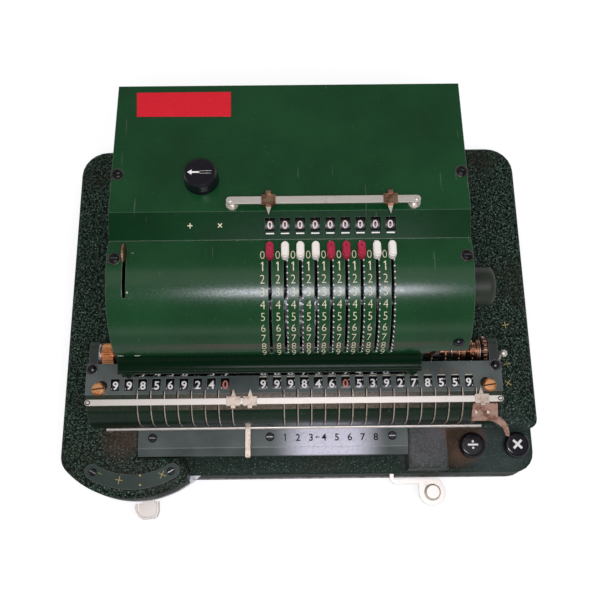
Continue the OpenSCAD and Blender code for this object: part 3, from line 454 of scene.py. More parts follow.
def stove_enamel(name, colour, deep, dirt, rough, stripe, facet=None, brim=None, oiled=None):
    """Smooth stove enamel on sheet steel: a thin hard gloss with fine scratches, pale specks and a stripe of
    brown, part grime and part painted sheen. All in millimetres: stripe is the height of its middle and half
    its width, facet the same for a dull strip along Y, brim the height below which the front is dull, and
    the last argument the two heights between which the front darkens. The facet and the brim are darkened
    too; these darkenings are painted shade."""
    tree, where = start(name)
    cloud = add(tree, "TexNoise", {"Scale": per_metre(38.0), "Detail": 5.0, "Roughness": 0.6},
                {"Vector": where})
    depth = add(tree, "MapRange", {"From Min": 0.35, "From Max": 0.68}, {"Value": cloud})
    body = add(tree, "MixRGB", {"Color1": colour, "Color2": deep}, {"Fac": depth})
    # Dust and scratches are finer than this; they are drawn at 1.3 to 1.6 mm, so that they show
    fine = add(tree, "TexNoise", {"Scale": per_metre(1.3), "Detail": 3.0, "Roughness": 0.7},
               {"Vector": where})
    speck = add(tree, "MapRange", {"From Min": 0.7, "From Max": 0.78, "To Max": 0.6}, {"Value": fine})
    specked = add(tree, "MixRGB", {"Color2": "#8d9a86"}, {"Fac": speck, "Color1": body})
    swept = add(tree, "Mapping", {"Rotation": (0.4, 0.3, 0.7), "Scale": (1.0, 0.05, 0.3)}, {"Vector": where})
    streak = add(tree, "TexNoise", {"Scale": per_metre(1.6), "Detail": 2.0}, {"Vector": swept})
    scratch = add(tree, "MapRange", {"From Min": 0.72, "From Max": 0.76, "To Max": 0.4}, {"Value": streak})
    marked = add(tree, "MixRGB", {"Color2": "#6f7c6c"}, {"Fac": scratch, "Color1": specked})
    x, y, z = add(tree, "SeparateXYZ", links={"Vector": where}).outputs
    in_front = add(tree, "Math", {"operation": "LESS_THAN", 1: FRONT_Y * MM}, {0: y})
    # The stripe, part grime and part painted sheen, fades towards both ends of the machine
    near = add(tree, "Math", {"operation": "COMPARE", 1: stripe[0] * MM, 2: stripe[1] * MM}, {0: z})
    band_break = add(tree, "MapRange", {"From Min": 0.3, "From Max": 0.6, "To Min": 0.25, "To Max": 0.85},
                {"Value": fine})
    aside = add(tree, "Math", {"operation": "ABSOLUTE"}, {0: x})
    middle = add(tree, "MapRange", {"From Min": 0.1, "From Max": 0.045, "To Min": 0.15}, {"Value": aside})
    front_middle = add(tree, "Math", {"operation": "MULTIPLY"}, {0: middle, 1: in_front})
    band_reach = add(tree, "Math", {"operation": "MULTIPLY"}, {0: band_break, 1: front_middle})
    grime_and_sheen = add(tree, "Math", {"operation": "MULTIPLY"}, {0: near, 1: band_reach})
    band_and_shade = add(tree, "MixRGB", {"Color2": dirt}, {"Fac": grime_and_sheen, "Color1": marked})
    edge_paling, rounded = worn_edge(tree, 0.7, 0.6)
    # Between these two heights the front is darkened towards black: painted shade under the drum
    if oiled:
        low, high = oiled
        shade_ramp = add(tree, "MapRange",
                    {"From Min": low * MM, "From Max": high * MM, "To Min": 0.8, "To Max": 0.0},
                    {"Value": z})
        front_shade = add(tree, "Math", {"operation": "MULTIPLY"}, {0: shade_ramp, 1: in_front})
        band_and_shade = add(tree, "MixRGB", {"Color2": PAINTED_SHADE_BLACK}, {"Fac": front_shade, "Color1": band_and_shade})
    # Paler along the edges, as wear and as painted edge highlight
    rubbed = add(tree, "MixRGB", {"Color2": "#8f968c"}, {"Fac": edge_paling, "Color1": band_and_shade})
    dull = add(tree, "MapRange",
               {"From Min": 0.3, "From Max": 0.75, "To Min": rough - 0.03, "To Max": rough + 0.12},
               {"Value": fine})
    bump = add(tree, "Bump", {"Strength": 0.05, "Distance": 0.3 * MM}, {"Height": fine, "Normal": rounded})
    links = {"Base Color": rubbed, "Roughness": dull, "Normal": bump}
    if not facet:
        close(tree, {"Specular IOR Level": 0.3}, links)
        return
    # The facet between the creases and the brim were rubbed dull, and mirror no lamp; their colour is also
    # darkened towards black as painted shade
    glossy = add(tree, "BsdfPrincipled", {"Specular IOR Level": 0.5}, links)
    darker = add(tree, "MixRGB", {"Fac": 0.45, "Color2": PAINTED_SHADE_BLACK}, {"Color1": rubbed})
    flat = add(tree, "BsdfPrincipled", {"Specular IOR Level": 0.08}, {**links, "Base Color": darker})
    on_strip = add(tree, "Math", {"operation": "COMPARE", 1: facet[0] * MM, 2: facet[1] * MM}, {0: y})
    below = add(tree, "Math", {"operation": "LESS_THAN", 1: brim * MM}, {0: z})
    front_below = add(tree, "Math", {"operation": "MULTIPLY"}, {0: below, 1: in_front})
    dull_and_shaded = add(tree, "Math", {"operation": "MAXIMUM"}, {0: on_strip, 1: front_below})
    mix = add(tree, "MixShader", links={0: dull_and_shaded, 1: glossy, 2: flat})
    add(tree, "OutputMaterial", links={"Surface": mix})


def satin_enamel(name, colour, deep, dirt, rough=0.34, bare=None):
    """Sprayed satin enamel on a machined plate: even and slightly grainy, and warmed by handling. Where bare
    is given (X and reach in millimetres, colour), that colour is painted about that place as a painted
    highlight."""
    tree, where = start(name)
    cloud = add(tree, "TexNoise", {"Scale": per_metre(26.0), "Detail": 5.0}, {"Vector": where})
    depth = add(tree, "MapRange", {"From Min": 0.35, "From Max": 0.7}, {"Value": cloud})
    body = add(tree, "MixRGB", {"Color1": colour, "Color2": deep}, {"Fac": depth})
    other = add(tree, "TexNoise", {"Scale": per_metre(9.0), "Detail": 6.0, "Roughness": 0.7},
                {"Vector": where})
    patch = add(tree, "MapRange", {"From Min": 0.56, "From Max": 0.74, "To Max": 0.55}, {"Value": other})
    dirt_and_sheen = add(tree, "MixRGB", {"Color2": dirt}, {"Fac": patch, "Color1": body})
    # The grain of the sprayed coat
    grain = add(tree, "TexNoise", {"Scale": per_metre(0.8), "Detail": 2.0}, {"Vector": where})
    # A painted highlight about the given place
    if bare:
        x = add(tree, "SeparateXYZ", links={"Vector": where}).outputs["X"]
        off = add(tree, "Math", {"operation": "SUBTRACT", 1: bare[0] * MM}, {0: x})
        aside = add(tree, "Math", {"operation": "ABSOLUTE"}, {0: off})
        centre = add(tree, "MapRange",
                     {"interpolation_type": "SMOOTHSTEP", "From Min": bare[1] * MM,
                      "From Max": 0.3 * bare[1] * MM, "To Max": 0.9}, {"Value": aside})
        highlight_break = add(tree, "TexNoise", {"Scale": per_metre(1.6), "Detail": 3.0}, {"Vector": where})
        broken = add(tree, "MapRange", {"From Min": 0.25, "From Max": 0.5, "To Min": 0.7},
                     {"Value": highlight_break})
        highlight_mask = add(tree, "Math", {"operation": "MULTIPLY"}, {0: centre, 1: broken})
        dirt_and_sheen = add(tree, "MixRGB", {"Color2": bare[2]}, {"Fac": highlight_mask, "Color1": dirt_and_sheen})
    edge_paling, rounded = worn_edge(tree, 0.5, 0.7)
    # Paler along the edges, as wear and as painted edge highlight
    rubbed = add(tree, "MixRGB", {"Color2": "#a9aca6"}, {"Fac": edge_paling, "Color1": dirt_and_sheen})
    bump = add(tree, "Bump", {"Strength": 0.12, "Distance": 0.2 * MM}, {"Height": grain, "Normal": rounded})
    close(tree, {"Roughness": rough, "Specular IOR Level": 0.5}, {"Base Color": rubbed, "Normal": bump})


def worked_metal(name, bright, tarnish, rough, spread=0.5):
    """A plated or bare metal: fine tool lines along X, and tarnish that gathers in patches."""
    tree, where = start(name)
    lined = add(tree, "Mapping", {"Scale": (0.06, 1.0, 1.0)}, {"Vector": where})
    lines = add(tree, "TexNoise", {"Scale": per_metre(0.5), "Detail": 3.0}, {"Vector": lined})
    cloud = add(tree, "TexNoise", {"Scale": per_metre(6.0), "Detail": 5.0, "Roughness": 0.65},
                {"Vector": where})
    patch = add(tree, "MapRange", {"From Min": 0.62 - 0.2 * spread, "From Max": 0.8 - 0.2 * spread},
                {"Value": cloud})
    shade = add(tree, "MixRGB", {"Color1": bright, "Color2": tarnish}, {"Fac": patch})
    dull = add(tree, "MapRange", {"To Min": rough - 0.06, "To Max": rough + 0.12}, {"Value": lines})
    rounded = add(tree, "Bevel", {"samples": 4, "Radius": 0.35 * MM})
    bump = add(tree, "Bump", {"Strength": 0.08, "Distance": 0.1 * MM}, {"Height": lines, "Normal": rounded})
    close(tree, {"Metallic": 1.0}, {"Base Color": shade, "Roughness": dull, "Normal": bump})


def moulding(name, colour, worn, rough, specular=0.5, grain=0.6, spread=0.3):
    """A moulded, poured or printed colour: a faint mottling, sized by its grain, and small dull rubs."""
    tree, where = start(name)
    mottle = add(tree, "TexNoise", {"Scale": per_metre(grain * 4), "Detail": 3.0}, {"Vector": where})
    rub = add(tree, "MapRange", {"From Min": 0.5, "From Max": 0.85, "To Max": spread}, {"Value": mottle})
    shade = add(tree, "MixRGB", {"Color1": colour, "Color2": worn}, {"Fac": rub})
    fine = add(tree, "TexNoise", {"Scale": per_metre(grain), "Detail": 2.0}, {"Vector": where})
    dull = add(tree, "MapRange", {"To Min": rough - 0.04, "To Max": rough + 0.1}, {"Value": fine})
    rounded = add(tree, "Bevel", {"samples": 4, "Radius": 0.4 * MM})
    bump = add(tree, "Bump", {"Strength": 0.04, "Distance": 0.1 * MM}, {"Height": fine, "Normal": rounded})
    close(tree, {"Specular IOR Level": specular}, {"Base Color": shade, "Roughness": dull, "Normal": bump})


def carried_over(source, tree, where):
    """Copies a finished material's nodes into another tree, and gives the copy of its surface shader."""
    copies = {}
    for node in source.node_tree.nodes:
        if node.bl_idname in ("ShaderNodeOutputMaterial", "ShaderNodeTexCoord"):
            continue
        copy = tree.nodes.new(node.bl_idname)
        for prop in node.bl_rna.properties:
            own = not node.bl_rna.base.properties.get(prop.identifier)
            if own and not prop.is_readonly:
                setattr(copy, prop.identifier, getattr(node, prop.identifier))
        for old, new in zip(node.inputs, copy.inputs):
            if hasattr(old, "default_value"):
                new.default_value = old.default_value
        copies[node.name] = copy
    for link in source.node_tree.links:
        if link.to_node.name in copies:
            origin = where
            if link.from_node.name in copies:
                place = list(link.from_node.outputs).index(link.from_socket)
                origin = copies[link.from_node.name].outputs[place]
            place = list(link.to_node.inputs).index(link.to_socket)
            tree.links.new(origin, copies[link.to_node.name].inputs[place])
    return next(c for c in copies.values() if c.bl_idname == "ShaderNodeBsdfPrincipled")


def two_part(name, first, second, socket, edge, rear=None):
    """Two finishes on one solid: the second lies where X, Y, Z or the distance R from the lever shaft is
    more than an edge in millimetres, and behind the Y given as rear."""
    tree, where = start(name)
    place = add(tree, "SeparateXYZ", links={"Vector": where})
    if socket == "R":
        flat = add(tree, "CombineXYZ", links={"X": place.outputs["Y"], "Y": place.outputs["Z"]})
        centred = add(tree, "VectorMath", {"operation": "DISTANCE", 1: (0.0, AXIS_Z * MM, 0.0)}, {0: flat})
        value = centred.outputs["Value"]
    else:
        value = place.outputs[socket]
    side = add(tree, "Math", {"operation": "GREATER_THAN", 1: edge * MM}, {0: value})
    if rear is not None:
        behind = add(tree, "Math", {"operation": "GREATER_THAN", 1: rear * MM}, {0: place.outputs["Y"]})
        side = add(tree, "Math", {"operation": "MAXIMUM"}, {0: side, 1: behind})
    mix = add(tree, "MixShader", links={0: side, 1: carried_over(finish(first), tree, where),
                                        2: carried_over(finish(second), tree, where)})
    add(tree, "OutputMaterial", links={"Surface": mix})
    return MATERIALS[name]


def finish(name):
    """A finish of the machine by its name, made when it is first asked for."""
    if name not in MATERIALS:
        maker, *values = FINISHES[name]
        maker(name, *values)
    return MATERIALS[name]


# Where the base is toned: the tongue and the key end are paler, a painted reflection of the lamp, and grease
# is brown at the scale's ends
SPOTS = ((88.0, -92.0, DECK_Z, 30.0, "#625e60", 0.8), (138.0, -88.0, SHELF_Z, 36.0, "#4c5654", 0.6),
         (110.0, -82.0, SHELF_Z, 25.0, "#84604e", 0.95), (-124.0, -84.0, DECK_Z, 17.0, "#4c382e", 0.7))

FINISHES = {
    # Baked and sprayed enamels: a dark speckled skin on the casting, gloss on the cover, satin on the plates
    "wrinkle enamel, dark green": (wrinkle_enamel, "casting", "#3f5848", "#2a241c", 1.0, 0.5, SPOTS),
    "wrinkle enamel, worn smoother": (wrinkle_enamel, "#13261a", "#32463a", "#30251f", 0.6, 0.25, SPOTS),
    # The brown stripes of the cover and the carriage are part grime and part painted sheen; the cover's
    # facet, brim and lower front are darkened as painted shade
    "stove enamel, bottle green": (stove_enamel, "enamel", "#0b3a1a", "#4e4436", 0.2, (142.6, 2.2),
                                   (25.0, 7.8), 131.8, (128.5, 136.0)),
    "stove enamel, carriage": (stove_enamel, "#0e2a18", "#0a1c11", "#7c6c5e", 0.26, (96.0, 4.0)),
    "stove enamel, black": (moulding, "#0d0e0d", "#1b1a18", 0.28, 0.4),
    "satin enamel, grey green": (satin_enamel, "plate", "#3b4541", "#4d3a33"),
    # The scale's bright middle is a painted highlight
    "satin enamel, rubbed bright": (satin_enamel, "plate", "#3b4541", "#4d3a33", 0.34,
                                    (20.0, 42.0, "#e6e4f0")),
    "satin enamel, green": (satin_enamel, "#2c3f35", "#25342c", "#3b3a2c"),
    "satin enamel, dark": (satin_enamel, "#2c3833", "#242e29", "#3a2a24", 0.4),
    # Paint handled down to the iron: brownish, dull, with pale edges
    "cast iron, rubbed": (satin_enamel, "#2e3829", "#20261c", "#453a2c", 0.42),
    # Nickel is warm and soft in its gloss, and goes pink and brown where it has worn; on the handle the pink
    # and brown are partly a painted reflection
    "nickel plate, polished": (worked_metal, "nickel", "#ddd0bc", 0.46, 0.2),
    "nickel plate, dulled": (worked_metal, "#e2d3c2", "#a98a74", 0.44, 0.6),
    "nickel plate, worn to brass": (worked_metal, "#e2b8a6", "#a47464", 0.4, 0.8),
    "nickel plate, tarnished": (worked_metal, "#b08e74", "#6b4a38", 0.4, 0.8),
    # Copper metals are orange, with brown patches where they were never cleaned
    "bronze, patinated": (worked_metal, "#b98365", "#5c3327", 0.3, 0.9),
    "brass, bare": (worked_metal, "#f4b27c", "#c87c46", 0.38, 0.6),
    # Steel is grey and sharper in its gloss, and darker where it was blackened or oiled
    "steel, bright turned": (worked_metal, "#c4c4c6", "#86847f", 0.3),
    "steel, blackened": (worked_metal, "#3a3a3c", "#1e1c1b", 0.34, 0.5),
    "steel, oiled": (worked_metal, "#7c7a76", "#4b3d34", 0.38, 0.8),
    # Moulded parts: deep black gloss on the keys, horn-like tips on the levers, matt rubber, shiny tape
    "phenolic moulding, polished": (moulding, "#0e0a14", "#201a2a", 0.14, 0.6),
    "casein tip, ivory": (moulding, "#efe9dd", "#d9cdb8", 0.3),
    "casein tip, crimson": (moulding, "#a81f3c", "#d0607c", 0.26),
    "rubber, moulded": (moulding, "#141414", "#26251f", 0.7, 0.3, 1.0),
    "vinyl tape, embossing": (moulding, "#de1228", "#e23844", 0.24),
    # Wax rubbed into engraved marks: dull, and yellowed or lost in patches
    "filling wax, cream": (moulding, "#e6dfbc", "#b8b088", 0.5, 0.2, 0.8, 0.6),
    "filling wax, white": (moulding, "#f4f2ec", "#cfcabd", 0.45, 0.3),
    "filling wax, old gold": (moulding, "#b7a76c", "#7c7040", 0.5, 0.2, 0.8, 0.9),
    "filling wax, black": (moulding, "#15130f", "#2b2721", 0.5, 0.2),
    "filling wax, sienna": (moulding, "#9a5a44", "#6b3b2e", 0.5, 0.2),
    # Ink printed on the noughts, faded unevenly
    "printing ink, rose": (moulding, "#c9786a", "#e4b3a6", 0.45, 0.3, 0.5, 0.8),
    "printing ink, blush": (moulding, "#f0dcd4", "#d99080", 0.45, 0.3, 0.5, 0.8),
}

# The finish of each solid that has one throughout
NODE_FINISH = {
    "stove enamel, bottle green": ["top_cover"],
    "stove enamel, carriage": ["carriage_roll"],
    "stove enamel, black": ["motor", "result_wheels", "counter_wheels",
                            *("check_drum_%d" % k for k in COLUMNS)],
    "satin enamel, grey green": ["carriage_plate"],
    "satin enamel, rubbed bright": ["scale_rail"],
    "satin enamel, green": ["sector_plate"],
    "satin enamel, dark": ["carriage_frame"],
    "cast iron, rubbed": ["hub_cover"],
    "nickel plate, polished": ["carriage_rails", "pointer_rail", "decimal_bar", "function_lever",
                               "shift_lever", "release_lever"],
    "nickel plate, dulled": ["position_finger", *("decimal_marker_%d" % k for k in (1, 2, 3))],
    "nickel plate, tarnished": ["clearing_lever"],
    "nickel plate, worn to brass": ["carriage_handle"],
    "bronze, patinated": ["clearing_shaft"],
    "steel, bright turned": ["lever_guide", "cross_shafts", "drive_shaft", "drive_wheels", "motor_pinion",
                             "idler_gear"],
    "steel, oiled": ["side_frames", "detent_comb", "bottom_plate"],
    "steel, blackened": ["case_screws"],
    "phenolic moulding, polished": ["selector_knob", "divide_key", "multiply_key", "power_inlet"],
    "rubber, moulded": ["rubber_feet"],
}


def dress(node, material):
    """Gives a solid its material."""
    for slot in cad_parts[node].material_slots:
        slot.material = material


# Properties

class CalculatorColours(bpy.types.PropertyGroup):
    """Colours of the main finishes"""
    casting: StringProperty(name="Casting", description="Wrinkle enamel of the base, sRGB hex",
                            default="#051009")
    enamel: StringProperty(name="Cover", description="Stove enamel of the cover, sRGB hex",
                           default="#104521")
    plate: StringProperty(name="Plates", description="Satin enamel of the number plate and scale, sRGB hex",
                          default="#56605b")
    nickel: StringProperty(name="Nickel", description="Nickel plate of bars and levers, sRGB hex",
                           default="#f6efe4")


class CalculatorSizes(bpy.types.PropertyGroup):
    """Sizes of the numerals and lines, and the place of the camera"""
    numeral: FloatProperty(name="Slot numerals", description="Height of the numerals beside the slots",
                           default=5.7 * MM, min=3 * MM, max=6.5 * MM, unit="LENGTH")
    register: FloatProperty(name="Register numerals", description="Height of the numerals in the registers",
                            default=5.6 * MM, min=4 * MM, max=7 * MM, unit="LENGTH")
    check: FloatProperty(name="Check numerals", description="Height of the numerals in the upper windows",
                         default=5.0 * MM, min=4 * MM, max=6 * MM, unit="LENGTH")
    divider: FloatProperty(name="Divider width", description="Width of the wires over the carriage roll",
                           default=0.75 * MM, min=0.4 * MM, max=2 * MM, unit="LENGTH")
    camera: FloatVectorProperty(name="Camera", description="Place of the camera", subtype="TRANSLATION",
                                default=(-0.00194, -0.16176, 0.6154))


def size(prop):
    """A size property in millimetres."""
    return getattr(bpy.context.scene.calculator_sizes, prop) / MM


# Stage

# The camera's pitch, yaw and roll in degrees and its lens, as the photograph's lines give them
CAMERA_TURN = (72.535, 0.844, 0.204)
CAMERA_LENS = 48.404


class CALCULATOR_OT_stage(bpy.types.Operator):
    """Adds the floor, the lamps, the world and the camera"""
    bl_idname = "calculator.stage"
    bl_label = "Stage"

    def lamp(self, name, place, aim, wide, deep, power, colour):
        """A soft rectangular lamp at a place, turned to what it aims at."""
        data = bpy.data.lights.new(name, "AREA")
        data.shape = "RECTANGLE"
        data.size = wide
        data.size_y = deep
        data.energy = power
        data.color = linear(colour)[:3]
        lamp = bpy.data.objects.new(name, data)
        lamp.location = place
        lamp.rotation_euler = (Vector(aim) - Vector(place)).to_track_quat("-Z", "Y").to_euler()
        bpy.context.scene.collection.objects.link(lamp)

    def camera(self, scene):
        """The camera at the photograph's place and angle."""
        pitch, yaw, roll = (math.radians(a) for a in CAMERA_TURN)
        ahead = Vector((math.sin(yaw) * math.cos(pitch), math.cos(yaw) * math.cos(pitch), -math.sin(pitch)))
        level_right = Vector((math.cos(yaw), -math.sin(yaw), 0))
        level_up = level_right.cross(ahead)
        right = level_right * math.cos(roll) + level_up * math.sin(roll)
        up = level_up * math.cos(roll) - level_right * math.sin(roll)
        data = bpy.data.cameras.new("camera")
        data.sensor_width = 36.0
        data.lens = CAMERA_LENS
        data.clip_start = 0.01
        data.clip_end = 20.0
        camera = bpy.data.objects.new("camera", data)
        turned = Matrix((right, up, -ahead)).transposed().to_4x4()
        camera.matrix_world = Matrix.Translation(scene.calculator_sizes.camera) @ turned
        scene.collection.objects.link(camera)
        scene.camera = camera

    def floor(self, scene):
        """Matt white paper: it keeps the shadow, and reads as white where the camera or a bright metal
        sees it."""
        mesh = bpy.data.meshes.new("floor")
        half = 4
        corners = [(-half, -half, 0), (half, -half, 0), (half, half, 0), (-half, half, 0)]
        mesh.from_pydata(corners, [], [(0, 1, 2, 3)])
        floor = bpy.data.objects.new("floor", mesh)
        scene.collection.objects.link(floor)
        paper = "paper, matt white"
        tree, _ = start(paper)
        path = add(tree, "LightPath").outputs
        shiny = add(tree, "Math", {"operation": "MAXIMUM"},
                    {0: path["Is Glossy Ray"], 1: path["Is Transmission Ray"]})
        dim = add(tree, "Math", {"operation": "MULTIPLY", 1: 0.1}, {0: shiny})
        lift = add(tree, "Math", {"operation": "MULTIPLY_ADD", 1: 0.72}, {0: path["Is Camera Ray"], 2: dim})
        glow = add(tree, "Emission", {"Color": "#ffffff"}, {"Strength": lift})
        matt = add(tree, "BsdfDiffuse", {"Color": "#b9b9b9"})
        both = add(tree, "AddShader", links={0: matt, 1: glow})
        add(tree, "OutputMaterial", links={"Surface": both})
        mesh.materials.append(MATERIALS[paper])

    def world(self, scene):
        """The soft light comes from above; the white sweep stands round the object, and a polished surface
        that faces up sees the dim upper room."""
        world = bpy.data.worlds.new("studio")
        world.use_nodes = True
        scene.world = world
        tree = world.node_tree
        tree.nodes.clear()
        path = add(tree, "LightPath").outputs
        around = add(tree, "TexCoord").outputs["Generated"]
        height = add(tree, "SeparateXYZ", links={"Vector": around}).outputs["Z"]
        above = add(tree, "MapRange", {"To Min": 0.15, "To Max": 0.74}, {"Value": height})
        soft = add(tree, "Background", {"Color": "#f3f3f7"}, {"Strength": above})
        sweep = add(tree, "MapRange", {"From Min": 0.0, "From Max": 0.3, "To Min": 1.0, "To Max": 0.2},
                    {"Value": height})
        mirrored = add(tree, "Background", {"Color": "#ffffff"}, {"Strength": sweep})
        white = add(tree, "Background", {"Color": "#ffffff", "Strength": 1.0})
        shiny = add(tree, "Math", {"operation": "MAXIMUM"},
                    {0: path["Is Glossy Ray"], 1: path["Is Transmission Ray"]})
        mixed = add(tree, "MixShader", links={0: shiny, 1: soft, 2: mirrored})
        final = add(tree, "MixShader", links={0: path["Is Camera Ray"], 1: mixed, 2: white})
        add(tree, "OutputWorld", links={"Surface": final})

    def execute(self, context):
        scene = context.scene
        scene.view_settings.view_transform = "Standard"
        self.camera(scene)
        self.floor(scene)
        self.world(scene)
        # The main lamp stands over the camera, so that the one bright band lies high on the drum
        self.lamp("front lamp", (0.026, -0.2, 0.61), (0, 0, 0.12), 0.24, 0.08, 1.45, "#f4f2ff")
        # A wide weak card behind it fills the level plates and bars
        self.lamp("top card", (0.0, 0.01, 0.75), (0, 0, 0), 0.6, 0.26, 0.3, "#f8f4f4")
        return {"FINISHED"}


# Pieces

class CALCULATOR_OT_solids(bpy.types.Operator):
    """Gives every solid of the frame its finish"""
    bl_idname = "calculator.solids"
    bl_label = "Finish the solids"

    def execute(self, context):
        for name, nodes in NODE_FINISH.items():
            for node in nodes:
                dress(node, finish(name))
        # The blades of the levers are black up to just above the drum, and their tips are coloured
        for k in COLUMNS:
            tip = "casein tip, crimson" if k in RED_COLUMNS else "casein tip, ivory"
            name = "%s on steel" % tip
            if name not in MATERIALS:
                two_part(name, "steel, blackened", tip, "R", DRUM_R + 0.35)
            dress("setting_lever_%d" % k, MATERIALS[name])
        # The shelf before the carriage has been worn smoother than the rest of the casting
        casing = two_part("wrinkle enamel, worn on the shelf", "wrinkle enamel, worn smoother",
                          "wrinkle enamel, dark green", "Z", SHELF_Z + 2, rear=-74)
        dress("base_casing", casing)
        skin = refilled("base_casing", DECK_Z)
        skin.data.materials.append(casing)
        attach(skin, "base")
        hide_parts("base_casing")
        marker = two_part("tarnished nickel, bright tip", "nickel plate, polished",
                          "nickel plate, tarnished", "Y", MARKER_TIP_Y)
        for node in ("left_marker", "right_marker"):
            dress(node, marker)
        # The two brass screws of the carriage lie before this edge, and the black ones behind it
        dress("carriage_screws", two_part("brass and blackened steel", "brass, bare", "steel, blackened",
                                          "Y", -50))
        undressed = [n for n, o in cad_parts.items()
                     if not o.material_slots or o.material_slots[0].material.name not in MATERIALS]
        if undressed:
            raise RuntimeError("solids without a finish: %s" % undressed)
        return {"FINISHED"}


class CALCULATOR_OT_cover(bpy.types.Operator):
    """Adds the numerals, marks and fittings on the cover"""
    bl_idname = "calculator.cover"
    bl_label = "Cover"

    def execute(self, context):
        # The noughts stand left of the slots at this angle, and the columns' numbers above them
        nought, above = 98.1, 108.6
        numerals, small = Shape(), Shape()
        for k in COLUMNS:
            for digit in range(10):
                # The last two are drawn taller, as the drum turns away from the eye there
                tall = {8: 1.15, 9: 1.3}.get(digit, 1.0)
                spot = on_drum(column_x(k) - 4.4, nought - DIGIT_TURN * digit)
                numerals.stamp(str(digit), size("numeral") * tall, spot, weight=-0.014, wide=0.86 / tall)
            small.stamp(str(k), 2.9, on_drum(column_x(k) - 0.2, above), weight=0.02)
        piece("slot_numerals", numerals, "filling wax, cream", "base")
        piece("column_numerals", small, "filling wax, white", "base")

        # Two white studs to a digit, at the right edge of every slot but the leftmost: metal pins whose
        # glint is painted white
        pin_glints = Shape()
        for k in COLUMNS[:-1]:
            for i in range(1, 19):
                spot = on_drum(column_x(k) + 1.15, HOME - DIGIT_TURN * (i + 0.35) / 2)
                pin_glints.lathe([(0, -1.2), (0.45, -1.2), (0.45, 0.02), (0.32, 0.16), (0, 0.2)], spot.flat(), 10)
        piece("slot_pins", pin_glints, "filling wax, white", "base", 40)

        # A dash before each window, and two low on the drum before the clearing lever
        dashes = Shape()
        for k in COLUMNS:
            dashes.block(4.9, 0.8, -0.05, 0.08, on_facet(column_x(k), 20.4))
        for x in (-110.2, -99.8):
            dashes.block(3.6, 0.5, -0.05, 0.08, on_drum(x, 9.2))
        piece("window_dashes", dashes, "filling wax, white", "base")

        # Signs left of the windows, and small ones beside the clearing lever's slot
        marks = Shape()
        marks.stamp("+", 6.2, on_facet(-64.8, 25.2), weight=0.01)
        marks.stamp("×", 6.2, on_facet(-47.0, 25.2), weight=0.01)
        marks.stamp("+", 3.4, on_drum(-100.6, 70.0))
        marks.stamp("−", 3.0, on_drum(-98.2, 100.7))
        piece("cover_marks", marks, "filling wax, cream", "base")

        # A bare strip of tape by its corners on the panel, its top edge bevelled
        tape = Shape()
        flat = on_panel(-71.5, 108.85)
        corners = [(-100.5, 100.0), (-41.7, 99.5), (-42.1, 118.0), (-101.6, 117.9)]
        offsets = [Vector((x, y, panel_z(y))) - flat.at for x, y in corners]
        outline = [(offset.dot(flat.right), offset.dot(flat.up)) for offset in offsets]
        tape.prism(outline, -0.02, 0.3, flat)
        tape.prism(outline, 0.3, 0.42, flat, 0.985)
        piece("tape", tape, "vinyl tape, embossing", "base")

        rings = Shape()
        seats = [on_panel(x, 59, 25).flat() for x in (-109.8, 99.2)]
        seats += [on_drum(x, 96).flat() for x in (-108.9, 98.8)]
        for seat in seats:
            rings.lathe([(3.05, -0.05), (4.1, -0.05), (4.0, 0.25), (3.05, 0.3)], seat)
        piece("screw_rings", rings, "steel, oiled", "base", 40)

        # Bright burrs in the slots of these screws and of those in the scale and the sector plate
        burrs = Shape()
        seats += [level(x, -84.5, SCALE_TOP) for x in (-102.2, -21.2, 63.3)]
        reach = 54
        for turn in (-29.5, 29.5):
            a = math.radians(turn)
            place = (SECTOR[0] + reach * math.sin(a), SECTOR[1] - reach * math.cos(a))
            seats.append(level(*place, SECTOR_TOP, turn))
        for seat in seats:
            burrs.block(4.6, 0.6, 0.5, 1.0, seat)
        piece("slot_burrs", burrs, "steel, bright turned", "base")

        dome = Shape()
        dome.lathe([(0, -0.1), (3.4, -0.1), (3.4, 0.9), (3.0, 1.7), (2.0, 2.4), (0.9, 2.7), (0, 2.75)],
                   on_drum(95.6, 24).flat())
        piece("dome_screw", dome, "phenolic moulding, polished", "base", 50)
        return {"FINISHED"}


class CALCULATOR_OT_drums(bpy.types.Operator):
    """Adds the numerals of the check drums and of the number wheels"""
    bl_idname = "calculator.drums"
    bl_label = "Number drums"

    def execute(self, context):
        for k in COLUMNS:
            zero, rest = Shape(), Shape()
            for digit in range(10):
                spot = on_round(column_x(k), *CHECK_DRUM, 90 - FACET - WHEEL_STEP * digit)
                (rest if digit else zero).stamp(str(digit), size("check"), spot, weight=0.012)
            body = "check_drum_%d" % k
            piece("check_zero_%d" % k, zero, "printing ink, blush", body)
            piece("check_digits_%d" % k, rest, "filling wax, white", body)

        # Beside each numeral stand two small dots on the result wheels, and one on the counter wheels
        first_x = RESULT_X - (PLACES - 1) * PITCH
        for name, digits, first, beside, turns in (("result", RESULT, first_x, 2.45, (-9, 9)),
                                                   ("counter", COUNTER, COUNTER_X, -2.45, (-10,))):
            zero, rest, dots = Shape(), Shape(), Shape()
            for i, now in enumerate(digits):
                x = first + i * PITCH
                for digit in range(10):
                    angle = 90 + WHEEL_STEP * (int(now) - digit)
                    (rest if digit else zero).stamp(str(digit), size("register"), on_round(x, *WHEEL, angle),
                                                    weight=0.022, wide=1.02)
                    for turn in turns:
                        dots.block(0.45, 0.9, -0.05, 0.08, on_round(x + beside, *WHEEL, angle + turn))
            body = name + "_wheels"
            piece(name + "_zeros", zero, "printing ink, rose", body)
            piece(name + "_digits", rest, "filling wax, white", body)
            piece(name + "_dots", dots, "filling wax, white", body)
        return {"FINISHED"}


